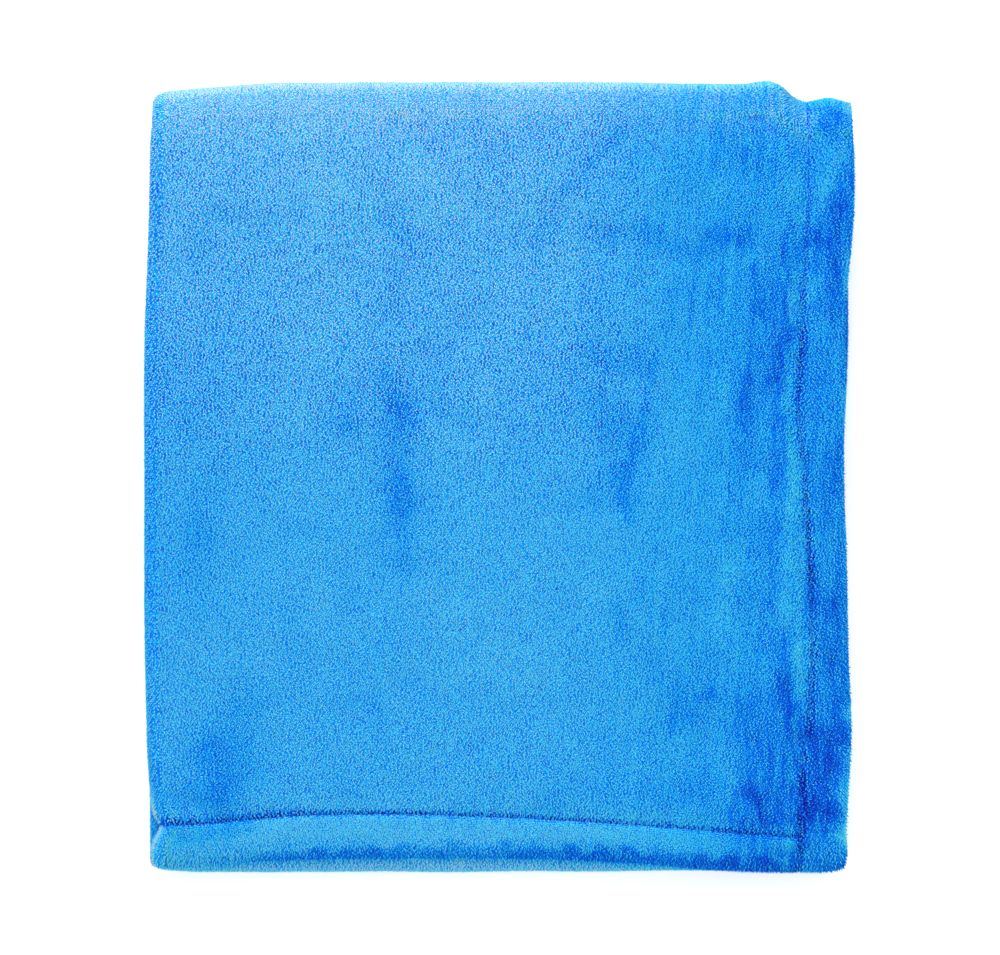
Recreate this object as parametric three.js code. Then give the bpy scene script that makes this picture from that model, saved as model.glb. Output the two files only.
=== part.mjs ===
// A plush fleece throw, folded in half twice across its width and then in thirds along its length.
// Millimetres, +Z up. +X runs along the near hem, +Y from the near hem to the rolled far fold.
// The blanket is one closed sheet of cloth. Its four edges are hems, turned under and sewn down.

import * as THREE from 'three';

// The cloth
const clothThickness = 2.2;
const layerGap = 1.1;
const hemThickness = 3;
const seamThickness = 1.8;
const hemSwell = 0.6; // what a hem adds to the height of its layer
const hemRise = 4; // that rise is gone this many hem widths in from the edge
const hemEase = 0.14; // share of the hem's width over which the cloth comes out of the seam

// The folded stack, before its edges wander
const halfWidth = 192.8;
const nearLine = -213.1;
const farLine = 218.8;
const panelGap = 0.8; // extra room between one third and the next
const farFoldDepth = 8; // reach of the far fold's inner face past the flat cloth
const nearFoldDepth = 0.6;
const outerFoldDepth = 6.5; // first fold, at the left, which holds the second one
const innerFoldDepth = 2.8;
const innerFoldClearance = 4.8;
const overhangRadius = 40; // the near hem droops on this radius past the fold below it
const secondEdge = 1.8; // what the second layer's right hem stands back from the first one's
const innerEndGap = 1.5; // what the hidden end stops short of the far fold

// The side edges: how far each stands in from halfWidth at a place along the stack, and the right hem's width.
// The lower columns are for the two thirds below the top one.
const sides = [
  { y: -212, left: 7.6, right: 8.0, hem: 23.0, lowerLeft: 6.2, lowerRight: 7.6 },
  { y: -204, left: 5.6, right: 6.1, hem: 24.6, lowerLeft: 4.4, lowerRight: 7.1 },
  { y: -196, left: 7.0, right: 6.3, hem: 24.5, lowerLeft: 4.1, lowerRight: 6.9 },
  { y: -189, left: 10.2, right: 6.5, hem: 24.3, lowerLeft: 4.0, lowerRight: 6.4 },
  { y: -181, left: 6.6, right: 5.9, hem: 24.8, lowerLeft: 3.9, lowerRight: 6.2 },
  { y: -168, left: 4.7, right: 5.0, hem: 25.7, lowerLeft: 3.8, lowerRight: 6.0 },
  { y: -150, left: 3.2, right: 3.8, hem: 25.4, lowerLeft: 3.2, lowerRight: 5.2 },
  { y: -135, left: 2.6, right: 3.4, hem: 23.6, lowerLeft: 2.6, lowerRight: 4.9 },
  { y: -94, left: 1.3, right: 4.8, hem: 19.5, lowerLeft: 2.0, lowerRight: 5.8 },
  { y: -45, left: 0.7, right: 5.4, hem: 20.0, lowerLeft: 1.6, lowerRight: 6.4 },
  { y: -10, left: 0.5, right: 6.4, hem: 20.8, lowerLeft: 1.2, lowerRight: 7.4 },
  { y: 15, left: 0.3, right: 6.4, hem: 22.2, lowerLeft: 1.0, lowerRight: 6.8 },
  { y: 37, left: 0.0, right: 5.8, hem: 25.4, lowerLeft: 0.9, lowerRight: 5.0 },
  { y: 75, left: 0.0, right: 5.4, hem: 23.4, lowerLeft: 1.0, lowerRight: 3.3 },
  { y: 100, left: 0.6, right: 4.6, hem: 23.6, lowerLeft: 1.5, lowerRight: 3.2 },
  { y: 123, left: 1.5, right: 2.0, hem: 23.8, lowerLeft: 2.2, lowerRight: 3.0 },
  { y: 150, left: 2.2, right: 0.0, hem: 24.8, lowerLeft: 2.8, lowerRight: 1.6 },
  { y: 185, left: 2.7, right: 0.2, hem: 24.4, lowerLeft: 3.2, lowerRight: 1.4 },
  { y: 205, left: 4.4, right: 2.6, hem: 22.4, lowerLeft: 4.6, lowerRight: 3.6 },
];

// The near edge of the top third: how far it stands in from nearLine, its hem's width, and the same for the
// fold below it.
const nearEdge = [
  { x: -188, edge: 2.6, hem: 22.0, fold: 2.4 },
  { x: -162, edge: 2.1, hem: 23.4, fold: 1.2 },
  { x: -135, edge: 4.9, hem: 23.1, fold: 1.0 },
  { x: -108, edge: 6.5, hem: 23.6, fold: 1.1 },
  { x: -60, edge: 7.0, hem: 23.9, fold: 1.2 },
  { x: -20, edge: 7.0, hem: 23.0, fold: 1.1 },
  { x: 32, edge: 6.5, hem: 21.2, fold: 1.3 },
  { x: 76, edge: 4.3, hem: 20.6, fold: 1.6 },
  { x: 108, edge: 1.6, hem: 20.6, fold: 2.2 },
  { x: 140, edge: 0.0, hem: 19.5, fold: 2.8 },
  { x: 162, edge: 0.0, hem: 17.9, fold: 3.4 },
  { x: 188, edge: 0.8, hem: 17.6, fold: 4.6 },
];

// The far fold: how far it stands in from farLine. It steps in where the right hem's seam crosses it.
const farEdge = [
  { x: -190, inset: 5.6 },
  { x: -176, inset: 4.4 },
  { x: -157, inset: 2.9 },
  { x: -124, inset: 0.7 },
  { x: -60, inset: 0.1 },
  { x: 0, inset: 0.1 },
  { x: 70, inset: 0.2 },
  { x: 110, inset: 1.0 },
  { x: 134, inset: 1.3 },
  { x: 146, inset: 0.2 },
  { x: 153, inset: 2.6 },
  { x: 160, inset: 9.2 },
  { x: 168, inset: 12.4 },
  { x: 180, inset: 10.4 },
  { x: 190, inset: 12.6 },
];

// Soft swells and hollows of the whole stack: where each lies, how far it reaches and its lift at the top.
const swells = [
  { x: -10, y: -70, reachX: 75, reachY: 90, lift: 1.0 },
  { x: -130, y: 70, reachX: 60, reachY: 80, lift: 0.7 },
  { x: 60, y: 110, reachX: 70, reachY: 55, lift: 0.6 },
  { x: -52, y: 8, reachX: 22, reachY: 60, lift: -0.9 },
  { x: 66, y: 25, reachX: 24, reachY: 50, lift: -0.9 },
  { x: 148, y: 55, reachX: 16, reachY: 75, lift: -1.5 },
  { x: 176, y: 40, reachX: 14, reachY: 120, lift: 0.7 },
  { x: 178, y: -110, reachX: 16, reachY: 70, lift: 0.8 },
  { x: 120, y: -150, reachX: 50, reachY: 40, lift: -0.8 },
  { x: -160, y: -150, reachX: 50, reachY: 50, lift: -0.9 },
];
const farDrop = 2.4; // the top lies lower along the far fold, over farDropReach
const farDropReach = 70;
const leftDrop = 1.2;
const leftDropReach = 40;

// How far each layer's end stands back from the top layer's, at the near hem and at the hidden hem.
const slides = [
  { layer: 1, near: 0.0, hidden: 0.0 },
  { layer: 2, near: 1.6, hidden: 3.2 },
  { layer: 3, near: 1.0, hidden: 1.4 },
  { layer: 4, near: 2.2, hidden: 4.6 },
];

const { clamp, lerp, smoothstep } = THREE.MathUtils;

// Reads a column of a table at a place between its rows, on a smooth curve through them.
function readTable(table, key, column, place) {
  const last = table.length - 1;
  if (place <= table[0][key]) return table[0][column];
  if (place >= table[last][key]) return table[last][column];
  let row = 1;
  while (table[row][key] < place) row += 1;
  const slopeAt = (i) => {
    const before = table[Math.max(i - 1, 0)];
    const after = table[Math.min(i + 1, last)];
    return (after[column] - before[column]) / (after[key] - before[key]);
  };
  const span = table[row][key] - table[row - 1][key];
  const t = (place - table[row - 1][key]) / span;
  const fromStart = table[row - 1][column] * (1 + 2 * t) + slopeAt(row - 1) * span * t;
  const toEnd = table[row][column] * (3 - 2 * t) - slopeAt(row) * span * (1 - t);
  return fromStart * (1 - t) ** 2 + toEnd * t ** 2;
}

// The sheet is mapped by two numbers. acrossPlace runs over the layers of one third: 0 to 1 is layer 1 from its
// right hem to the left fold, 1 to 2 that fold, 2 to 3 layer 4, 3 to 4 its right fold, 4 to 5 layer 3, 5 to 6 the
// inner left fold and 6 to 7 layer 2 out to its right hem. alongPlace runs over the thirds: 0 to 1 is the top third
// from its near hem, 1 to 2 the far fold, 2 to 3 the bottom third, 3 to 4 the near fold and 4 to 5 the middle third
// out to the hidden hem.
const layerOrder = [1, 4, 3, 2];
const hemShare = 0.1; // share of a layer's or third's run that its hem takes in the map
const hemRun = 1 + hemEase; // that run's length, in hem widths

const farFromHem = 9; // in hem widths, where a run has no hem

// How far a place along the sheet has turned from the top third to the lower two, from 0 to 1.
const lowerShare = (alongPlace) => clamp(alongPlace - 1, 0, 1);

// How thick a hem stands at a distance from its edge in hem widths: 1 over the hem, easing to 0 beyond it.
const hemZone = (hems) => 1 - smoothstep(hems, 1, hemRise);

// Where the sides of a third lie at a place along the stack, and the width of its right hem.
function edgesAt(y, lower) {
  const read = (column) => readTable(sides, 'y', column, y);
  const left = lerp(read('left'), read('lowerLeft'), lower);
  return {
    left: -halfWidth + left,
    innerLeft: -halfWidth + lerp(left, read('lowerLeft'), 0.5),
    right: halfWidth - lerp(read('right'), read('lowerRight'), lower),
    foldedRight: halfWidth - read('lowerRight'),
    hem: read('hem'),
  };
}

// Where a run that starts with a hem has got to, at a share of it.
function alongHemmedRun(share, edge, hemEnd, end) {
  if (share < hemShare) return lerp(edge, hemEnd, share / hemShare);
  return lerp(hemEnd, end, (share - hemShare) / (1 - hemShare));
}

// Place across at a point of the section, its distance from the hem in hem widths, and its turn round a fold.
function acrossAt(acrossPlace, y, lower) {
  const edges = edgesAt(y, lower);
  const section = Math.min(Math.floor(acrossPlace), 6);
  const run = acrossPlace - section;
  const turn = Math.PI * run;
  const halfCloth = clothThickness / 2;
  const outerStart = edges.left + halfCloth + outerFoldDepth;
  const innerStart = edges.innerLeft + innerFoldClearance + clothThickness + halfCloth + innerFoldDepth;
  const rightStart = edges.foldedRight - halfCloth - innerFoldDepth;
  const hemEdge = edges.right - (section === 6 ? secondEdge : 0);
  const hemEnd = hemEdge - hemRun * edges.hem;
  const x = [
    () => alongHemmedRun(run, hemEdge, hemEnd, outerStart),
    () => outerStart - outerFoldDepth * Math.sin(turn),
    () => lerp(outerStart, rightStart, run),
    () => rightStart + innerFoldDepth * Math.sin(turn),
    () => lerp(rightStart, innerStart, run),
    () => innerStart - innerFoldDepth * Math.sin(turn),
    () => alongHemmedRun(1 - run, hemEdge, hemEnd, innerStart),
  ][section]();
  const hemmed = section === 0 || section === 6;
  return {
    x,
    section,
    run,
    turn,
    hems: hemmed ? (hemEdge - x) / edges.hem : farFromHem,
    hemWidth: edges.hem,
  };
}

// Where the runs along the stack start and end at one place across it.
function reachAt(x) {
  const read = (column) => readTable(nearEdge, 'x', column, x);
  const stack = 4 * (clothThickness + layerGap) - layerGap / 2;
  const farStart = farLine - readTable(farEdge, 'x', 'inset', x) - farFoldDepth - stack;
  return {
    edge: nearLine + read('edge'),
    hem: read('hem'),
    farStart,
    nearStart: nearLine + read('fold') + nearFoldDepth + stack,
    hidden: farStart - innerEndGap,
  };
}

// Heights of the four layers over the inner face of their third, where the cloth may be hemmed.
function layerHeights(sideHems, endZone) {
  const heights = {};
  let top = 0;
  for (const layer of [4, 3, 2, 1]) {
    const sideZone = layer < 3 ? hemZone(sideHems) : 0;
    const pitch = clothThickness + layerGap + hemSwell * Math.max(endZone, sideZone);
    heights[layer] = top + pitch / 2;
    top += pitch;
  }
  return { ...heights, total: top };
}

// Level of each third's inner face at a place in plan.
function levelsAt(x, y, reach) {
  const edges = edgesAt(y, 1);
  const sideHems = (edges.right - x) / edges.hem;
  const lowest = lerp(clothThickness, hemThickness, hemZone(sideHems)) / 2;
  const bottom = lowest + layerHeights(sideHems, 0)[1];
  const middle = bottom + 2 * nearFoldDepth;
  const hiddenZone = hemZone((reach.hidden - y) / reach.hem);
  const top = middle + layerHeights(sideHems, hiddenZone).total + panelGap;
  const overhang = Math.max(reach.nearStart - y, 0);
  return { bottom, middle, top: top - overhang ** 2 / (2 * overhangRadius) };
}

// How far the cloth's end is slid back, eased from one layer to the next over the folds.
function slideAt(across, column) {
  const inFold = across.section % 2 === 1;
  const layer = Math.floor(across.section / 2);
  const here = slides[layerOrder[layer] - 1][column];
  if (!inFold) return here;
  return lerp(here, slides[layerOrder[layer + 1] - 1][column], smoothstep(across.run, 0, 1));
}

// Place along the stack before its folds, and its distance from a hem in hem widths.
function alongAt(section, run, reach, across) {
  const nearEnd = reach.edge + slideAt(across, 'near');
  const hiddenEnd = reach.hidden - slideAt(across, 'hidden');
  const hemLength = hemRun * reach.hem;
  const y = [
    () => alongHemmedRun(run, nearEnd, nearEnd + hemLength, reach.farStart),
    () => reach.farStart,
    () => lerp(reach.farStart, reach.nearStart, run),
    () => reach.nearStart,
    () => alongHemmedRun(1 - run, hiddenEnd, hiddenEnd - hemLength, reach.nearStart),
  ][section]();
  if (section === 0) return { y, hems: (y - nearEnd) / reach.hem };
  if (section === 4) return { y, hems: (hiddenEnd - y) / reach.hem };
  return { y, hems: farFromHem };
}

// Point and outward direction, in the plane of y and z, on the half ellipse that joins two thirds' inner faces.
function foldFace(y, startLevel, endLevel, reachOut, turn) {
  const rise = (startLevel - endLevel) / 2;
  const normalY = Math.sign(reachOut) * Math.sin(turn) * Math.abs(rise);
  const normalZ = Math.sign(rise) * Math.cos(turn) * Math.abs(reachOut);
  const length = Math.hypot(normalY, normalZ);
  return {
    y: y + reachOut * Math.sin(turn),
    z: (startLevel + endLevel) / 2 + rise * Math.cos(turn),
    normalY: normalY / length,
    normalZ: normalZ / length,
  };
}

// Thickness of the cloth: plain, or a full hem with a round rim and the pinch of its seam.
function thicknessAt(across, endHems, endHemWidth) {
  const rim = (hems, width) => {
    const inward = clamp((hems * width) / (hemThickness / 2), 0, 1);
    return Math.sqrt(1 - (1 - inward) ** 2);
  };
  const pinch = (hems) => Math.max(0, 1 - Math.abs(hems - 1) / hemEase);
  const inSideHem = across.hems < 1;
  const body = inSideHem || endHems < 1 ? hemThickness : clothThickness;
  const seam = Math.max(pinch(across.hems), inSideHem ? 0 : pinch(endHems));
  return lerp(body, seamThickness, seam) * rim(across.hems, across.hemWidth) * rim(endHems, endHemWidth);
}

// The cloth's middle surface, with its thickness.
function clothAt(acrossPlace, alongPlace) {
  const lower = lowerShare(alongPlace);
  const section = Math.min(Math.floor(alongPlace), 4);
  const run = alongPlace - section;
  const turn = Math.PI * run;

  // A first guess of y settles x, which then settles y.
  const guess = acrossAt(acrossPlace, 0, lower);
  const across = acrossAt(acrossPlace, alongAt(section, run, reachAt(guess.x), guess).y, lower);
  const reach = reachAt(across.x);
  const along = alongAt(section, run, reach, across);
  const levels = levelsAt(across.x, along.y, reach);

  // Height of the cloth over its third's inner face, with the folds of the section.
  const edges = edgesAt(along.y, lower);
  const heights = layerHeights((edges.right - across.x) / edges.hem, hemZone(along.hems));
  const layer = Math.floor(across.section / 2);
  const from = heights[layerOrder[layer]];
  const to = across.section % 2 === 1 ? heights[layerOrder[layer + 1]] : from;
  const height = lerp(to, from, (1 + Math.cos(across.turn)) / 2);

  const face = [
    () => ({ y: along.y, z: levels.top, normalY: 0, normalZ: 1 }),
    () => foldFace(along.y, levels.top, levels.bottom, farFoldDepth, turn),
    () => ({ y: along.y, z: levels.bottom, normalY: 0, normalZ: -1 }),
    () => foldFace(along.y, levels.bottom, levels.middle, -nearFoldDepth, turn),
    () => ({ y: along.y, z: levels.middle, normalY: 0, normalZ: 1 }),
  ][section]();
  const point = new THREE.Vector3(across.x, face.y + face.normalY * height, face.z + face.normalZ * height);
  return { point, thickness: thicknessAt(across, along.hems, reach.hem) };
}

// Scales heights down to the surface that the stack lies on, so that no layer crosses another.
function stackScale(x, y) {
  const top = 12 * (clothThickness + layerGap);
  let lift = -farDrop * smoothstep(y, farLine - farDropReach, farLine);
  lift -= leftDrop * smoothstep(-x, halfWidth - leftDropReach, halfWidth);
  for (const swell of swells) {
    const away = ((x - swell.x) / swell.reachX) ** 2 + ((y - swell.y) / swell.reachY) ** 2;
    lift += swell.lift * Math.exp(-away);
  }
  return 1 + lift / top;
}

// Lines of the mesh along the cloth, closer where the far fold steps in at the right.
const fieldLines = [-140, -85, -30, 30, 85, 125, 146, 152, 158];
const underHemLines = [163, 167, 177];
const fieldSpan = { left: -182, hemEnd: 164, right: 188 };

const mirrored = (lines) => lines.map((line) => 1 - line).reverse();
const evenLines = (steps) => Array.from({ length: steps + 1 }, (_, i) => i / steps);

// Lines over a run of the map that starts with a hem, given its lines past the hem.
function hemmedLines(pastHem) {
  const hemSteps = [0, 0.03, 0.09, 0.5, 1 - hemEase, 1];
  const overHem = hemSteps.map((hems) => (hemShare * hems) / hemRun);
  return [...overHem, ...pastHem.map((line) => lerp(hemShare, 1, line))];
}

// Joins the runs of the map, each with its own lines from 0 to 1, into one list of places.
function joinRuns(runs) {
  return [0, ...runs.flatMap((lines, run) => lines.slice(1).map((line) => run + line))];
}

const shareOfSpan = (from, to) => (x) => (x - from) / (to - from);
const towardsLeft = [...fieldLines].reverse().map(shareOfSpan(fieldSpan.hemEnd, fieldSpan.left));
const hemmedLayer = hemmedLines([0, ...towardsLeft, 1]);
const plainLayer = [0, ...[...fieldLines, ...underHemLines].map(shareOfSpan(fieldSpan.left, fieldSpan.right)), 1];
const acrossPlaces = joinRuns([
  hemmedLayer,
  evenLines(6),
  plainLayer,
  evenLines(4),
  mirrored(plainLayer),
  evenLines(4),
  mirrored(hemmedLayer),
]);
const alongPlaces = joinRuns([
  hemmedLines(evenLines(6)),
  evenLines(8),
  evenLines(5),
  evenLines(6),
  mirrored(hemmedLines(evenLines(4))),
]);

// Builds the sheet as two skins that share their rim.
function buildBlanket() {
  const step = 1e-4;
  const positions = [];
  const addVertex = (point) => {
    positions.push(point.x, point.y, Math.max(0, point.z * stackScale(point.x, point.y)));
    return positions.length / 3 - 1;
  };
  const slopeOf = (place, end, sample) => {
    const low = Math.max(place - step, 0);
    const high = Math.min(place + step, end);
    return sample(high).sub(sample(low));
  };
  const outerSkin = [];
  const innerSkin = [];
  acrossPlaces.forEach((across, i) => {
    outerSkin.push([]);
    innerSkin.push([]);
    alongPlaces.forEach((along, j) => {
      const { point, thickness } = clothAt(across, along);
      const acrossSlope = slopeOf(across, 7, (place) => clothAt(place, along).point);
      const alongSlope = slopeOf(along, 5, (place) => clothAt(across, place).point);
      const offset = alongSlope.cross(acrossSlope).setLength(thickness / 2);
      const onRim = i === 0 || j === 0 || i === acrossPlaces.length - 1 || j === alongPlaces.length - 1;
      outerSkin[i][j] = addVertex(onRim ? point : point.clone().add(offset));
      innerSkin[i][j] = onRim ? outerSkin[i][j] : addVertex(point.clone().sub(offset));
    });
  });

  const triangles = [];
  for (let i = 1; i < acrossPlaces.length; i += 1) {
    for (let j = 1; j < alongPlaces.length; j += 1) {
      const corners = (skin) => [skin[i - 1][j - 1], skin[i - 1][j], skin[i][j], skin[i][j - 1]];
      const [a, b, c, d] = corners(outerSkin);
      triangles.push(a, b, c, a, c, d);
      const [e, f, g, h] = corners(innerSkin);
      triangles.push(e, g, f, e, h, g);
    }
  }
  const geometry = new THREE.BufferGeometry();
  geometry.setAttribute('position', new THREE.Float32BufferAttribute(positions, 3));
  geometry.setIndex(triangles);

  // The origin is the middle of the stack's box, on the surface that it lies on.
  geometry.computeBoundingBox();
  const middle = geometry.boundingBox.getCenter(new THREE.Vector3());
  geometry.translate(-middle.x, -middle.y, -geometry.boundingBox.min.z);
  geometry.computeVertexNormals();
  return geometry;
}

const fleece = new THREE.MeshStandardMaterial({ color: 0x3fa0ec, roughness: 0.95, metalness: 0 });
const blanket = new THREE.Mesh(buildBlanket(), fleece);
blanket.name = 'blanket';

const foldedThrow = new THREE.Group();
foldedThrow.add(blanket);

export default foldedThrow;
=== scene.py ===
import math
import bpy
import numpy as np
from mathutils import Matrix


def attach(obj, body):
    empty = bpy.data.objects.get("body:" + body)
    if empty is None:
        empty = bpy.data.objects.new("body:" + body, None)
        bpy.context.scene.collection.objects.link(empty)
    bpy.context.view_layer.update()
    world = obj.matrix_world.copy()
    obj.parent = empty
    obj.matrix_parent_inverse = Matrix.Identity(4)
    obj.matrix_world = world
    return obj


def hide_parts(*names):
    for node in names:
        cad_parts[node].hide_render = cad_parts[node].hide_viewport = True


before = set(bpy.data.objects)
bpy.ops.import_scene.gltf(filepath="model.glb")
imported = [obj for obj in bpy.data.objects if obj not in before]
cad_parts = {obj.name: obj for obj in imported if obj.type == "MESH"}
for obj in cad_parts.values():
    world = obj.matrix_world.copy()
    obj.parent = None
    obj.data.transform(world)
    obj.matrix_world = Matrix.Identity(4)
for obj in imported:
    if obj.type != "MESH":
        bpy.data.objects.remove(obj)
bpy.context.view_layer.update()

mm = 0.001  # sizes and tables below are in millimetres

# The folded throw, as the part has it
cloth = {
    'thickness': 2.2, 'layerGap': 1.1, 'pileDepth': 0.6,  # the pile's share of the thickness, on each side
    'hemThickness': 3.2, 'seamThickness': 1.6,
    'hemSwell': 0.6, 'hemRise': 4, 'hemEase': 0.14,
    'halfWidth': 192.8, 'nearLine': -212.8, 'farLine': 220.0, 'leftEase': 0.7,
    'panelGap': 0.8,
    'farFoldDepth': 8, 'nearFoldDepth': 0.6,
    'outerFoldDepth': 6.5, 'innerFoldDepth': 2.8, 'innerFoldClearance': 4.8,
    'overhangRadius': 40, 'secondEdge': 1.8, 'innerEndGap': 1.5,
    'farDrop': 2.4, 'farDropReach': 70, 'leftDrop': 1.2, 'leftDropReach': 40,
    'ripple': 0.22, 'rippleLength': 34,  # small unevenness of every layer
    'seamPucker': 0.22, 'puckerLength': 13, 'puckerReach': 0.3,  # where the hem's stitches draw the cloth in
    'seamSink': 1.1, 'seamSinkReach': 1.5, 'seamEase': 0.6, 'seamEaseReach': 6, 'rightSeamShare': 0.6,
    'rollDrop': 1.6, 'rollReach': 7,  # the top hem's edge rolls down
}

# Side edges: how far each stands in from halfWidth, and the right hem's width. The lower ones are for the two
# thirds under the top one.
sideColumns = ('y', 'left', 'right', 'hem', 'lowerLeft', 'lowerRight')
sideRows = np.array([
    (-214, 8.2, 11.4, 23.0, 7.0, 11.2),
    (-210, 6.9, 8.2, 23.4, 5.6, 8.8),
    (-204, 5.6, 6.3, 24.6, 4.4, 7.1),
    (-196, 7.0, 6.3, 24.5, 4.1, 6.9),
    (-189, 10.2, 6.5, 24.3, 4.0, 6.4),
    (-181, 6.6, 5.9, 24.8, 3.9, 6.2),
    (-168, 4.7, 5.0, 25.7, 3.8, 6.0),
    (-150, 3.2, 3.8, 25.4, 3.2, 5.2),
    (-135, 2.6, 3.4, 23.6, 2.6, 4.9),
    (-94, 1.3, 4.8, 19.5, 2.0, 5.8),
    (-45, 0.7, 5.4, 20.0, 1.6, 6.4),
    (-10, 0.5, 6.4, 20.8, 1.2, 7.4),
    (15, 0.3, 6.4, 22.2, 1.0, 6.8),
    (37, 0.0, 5.8, 25.4, 0.9, 5.0),
    (75, 0.0, 5.4, 23.4, 1.0, 3.3),
    (100, 0.6, 4.6, 23.6, 1.5, 3.2),
    (123, 1.5, 2.0, 23.8, 2.2, 3.0),
    (150, 2.2, 0.0, 24.8, 2.8, 1.6),
    (185, 2.7, 0.2, 24.4, 3.2, 1.4),
    (205, 4.4, 2.6, 22.4, 4.6, 3.6),
])

# Near edge of the top third: how far it stands in from nearLine, its hem, and the same for the fold below it
nearColumns = ('x', 'edge', 'hem', 'fold')
nearRows = np.array([
    (-188, 2.6, 22.0, 2.4),
    (-162, 2.1, 23.4, 1.2),
    (-135, 4.9, 23.1, 1.0),
    (-108, 6.5, 23.6, 1.1),
    (-60, 7.0, 23.9, 1.2),
    (-20, 7.0, 23.0, 1.1),
    (32, 6.5, 21.2, 1.3),
    (76, 4.3, 20.6, 1.6),
    (108, 1.6, 20.6, 2.2),
    (140, 0.0, 19.5, 2.8),
    (162, 0.0, 17.9, 3.4),
    (176, 0.1, 17.7, 3.8),
    (183, 1.6, 17.6, 4.6),
    (188, 4.6, 17.6, 6.4),
])

# Far fold: how far it stands in from farLine
farColumns = ('x', 'inset')
farRows = np.array([
    (-190, 5.6), (-176, 4.4), (-157, 2.9), (-124, 0.7), (-60, 0.1), (0, 0.1), (70, 0.2), (110, 1.0),
    (134, 1.3), (146, 0.2), (153, 2.6), (160, 9.2), (168, 12.4), (180, 10.4), (190, 12.6),
])

# Soft swells and hollows of the stack: x, y, reach across, reach along, lift at the top
swells = [
    (-10, -70, 75, 90, 1.0), (-130, 70, 60, 80, 0.7), (60, 110, 70, 55, 0.6),
    (-52, 8, 22, 60, -0.9), (66, 25, 24, 50, -0.9), (148, 55, 16, 75, -1.5),
    (176, 40, 14, 120, 0.7), (178, -110, 16, 70, 0.8), (120, -150, 50, 40, -0.8),
    (-160, -150, 50, 50, -0.9),
]

# How far layers 1 to 4 stand back at the near hem and at the hidden hem
slides = {'near': (0.0, 1.6, 1.0, 2.2), 'hidden': (0.0, 3.2, 1.4, 4.6)}
layerOrder = (1, 4, 3, 2)
hemShare = 0.1  # of a hemmed run's places lie on its hem
hemRun = 1 + cloth['hemEase']
farFromHem = 9.0  # in hem widths, where there is no hem

# Soft creases of the top layer alone: middle x, y, half length, half width, turn from +Y in degrees, lift
creases = [
    (81, 50, 30, 5, 20, -0.55), (60, 5, 26, 5, 16, -0.5),
    (-53, 8, 48, 7, -7, -0.5),
    (149, 60, 60, 5, 1, -0.7), (158, 20, 70, 3, 0, 0.5),
    (140, 196, 18, 3.5, 52, -0.8), (149, 203, 16, 3, 42, 0.8), (133, 185, 22, 4, 58, 0.5),
    (128, 165, 24, 5, 62, -0.5), (160, 190, 12, 3, 20, -0.6),
    (-172, -184, 16, 4, 70, 0.6), (-166, -176, 20, 4, 66, -0.5), (-176, -196, 12, 4, 100, -0.5),
    (140, -178, 16, 4, 24, -0.6), (150, -186, 14, 4, 30, 0.5), (154, -104, 20, 4, 0, -0.5),
    (-40, 168, 34, 8, 30, -0.35), (-12, 172, 30, 7, 26, 0.3),
]


def smoothstep(value, low, high):
    t = np.clip((value - low) / (high - low), 0, 1)
    return t * t * (3 - 2 * t)


def lerp(start, end, share):
    return start + (end - start) * share


# Reads a column of a table on a smooth curve through its rows
def readTable(rows, columns, column, place):
    keys, values = rows[:, 0], rows[:, columns.index(column)]
    slopes = np.empty(len(keys))
    slopes[1:-1] = (values[2:] - values[:-2]) / (keys[2:] - keys[:-2])
    slopes[0] = (values[1] - values[0]) / (keys[1] - keys[0])
    slopes[-1] = (values[-1] - values[-2]) / (keys[-1] - keys[-2])
    place = np.clip(place, keys[0], keys[-1])
    row = np.clip(np.searchsorted(keys, place), 1, len(keys) - 1)
    span = keys[row] - keys[row - 1]
    t = (place - keys[row - 1]) / span
    fromStart = values[row - 1] * (1 + 2 * t) + slopes[row - 1] * span * t
    toEnd = values[row] * (3 - 2 * t) - slopes[row] * span * (1 - t)
    return fromStart * (1 - t) ** 2 + toEnd * t ** 2


# A smooth random field of plane waves, about -1 to 1
def wander(x, y, length, seed, waves=14):
    rng = np.random.default_rng(seed)
    total = np.zeros(np.shape(x))
    for _ in range(waves):
        turn = rng.uniform(0, math.pi)
        step = 2 * math.pi / (length * rng.uniform(0.7, 1.6))
        phase = rng.uniform(0, 2 * math.pi)
        total = total + np.sin(step * (x * math.cos(turn) + y * math.sin(turn)) + phase)
    return total / math.sqrt(waves) * 0.8


# 1 on a hem, 0 well past its seam
def hemZone(hems):
    return 1 - smoothstep(hems, 1, cloth['hemRise'])


# Side edges at y: lower is 0 in the top third and 1 in the ones under it
def edgesAt(y, lower):
    read = {name: readTable(sideRows, sideColumns, name, y) for name in sideColumns[1:]}
    left = lerp(read['left'], read['lowerLeft'], lower)
    half = cloth['halfWidth']
    return {
        'left': left - half - cloth['leftEase'],
        'innerLeft': lerp(left, read['lowerLeft'], 0.5) - half,
        'right': half - lerp(read['right'], read['lowerRight'], lower),
        'foldedRight': half - read['lowerRight'],
        'hem': read['hem'],
    }


# A run of cloth that starts with its hem
def alongHemmedRun(share, edge, hemEnd, end):
    overHem = lerp(edge, hemEnd, share / hemShare)
    past = lerp(hemEnd, end, (share - hemShare) / (1 - hemShare))
    return np.where(share < hemShare, overHem, past)


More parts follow.
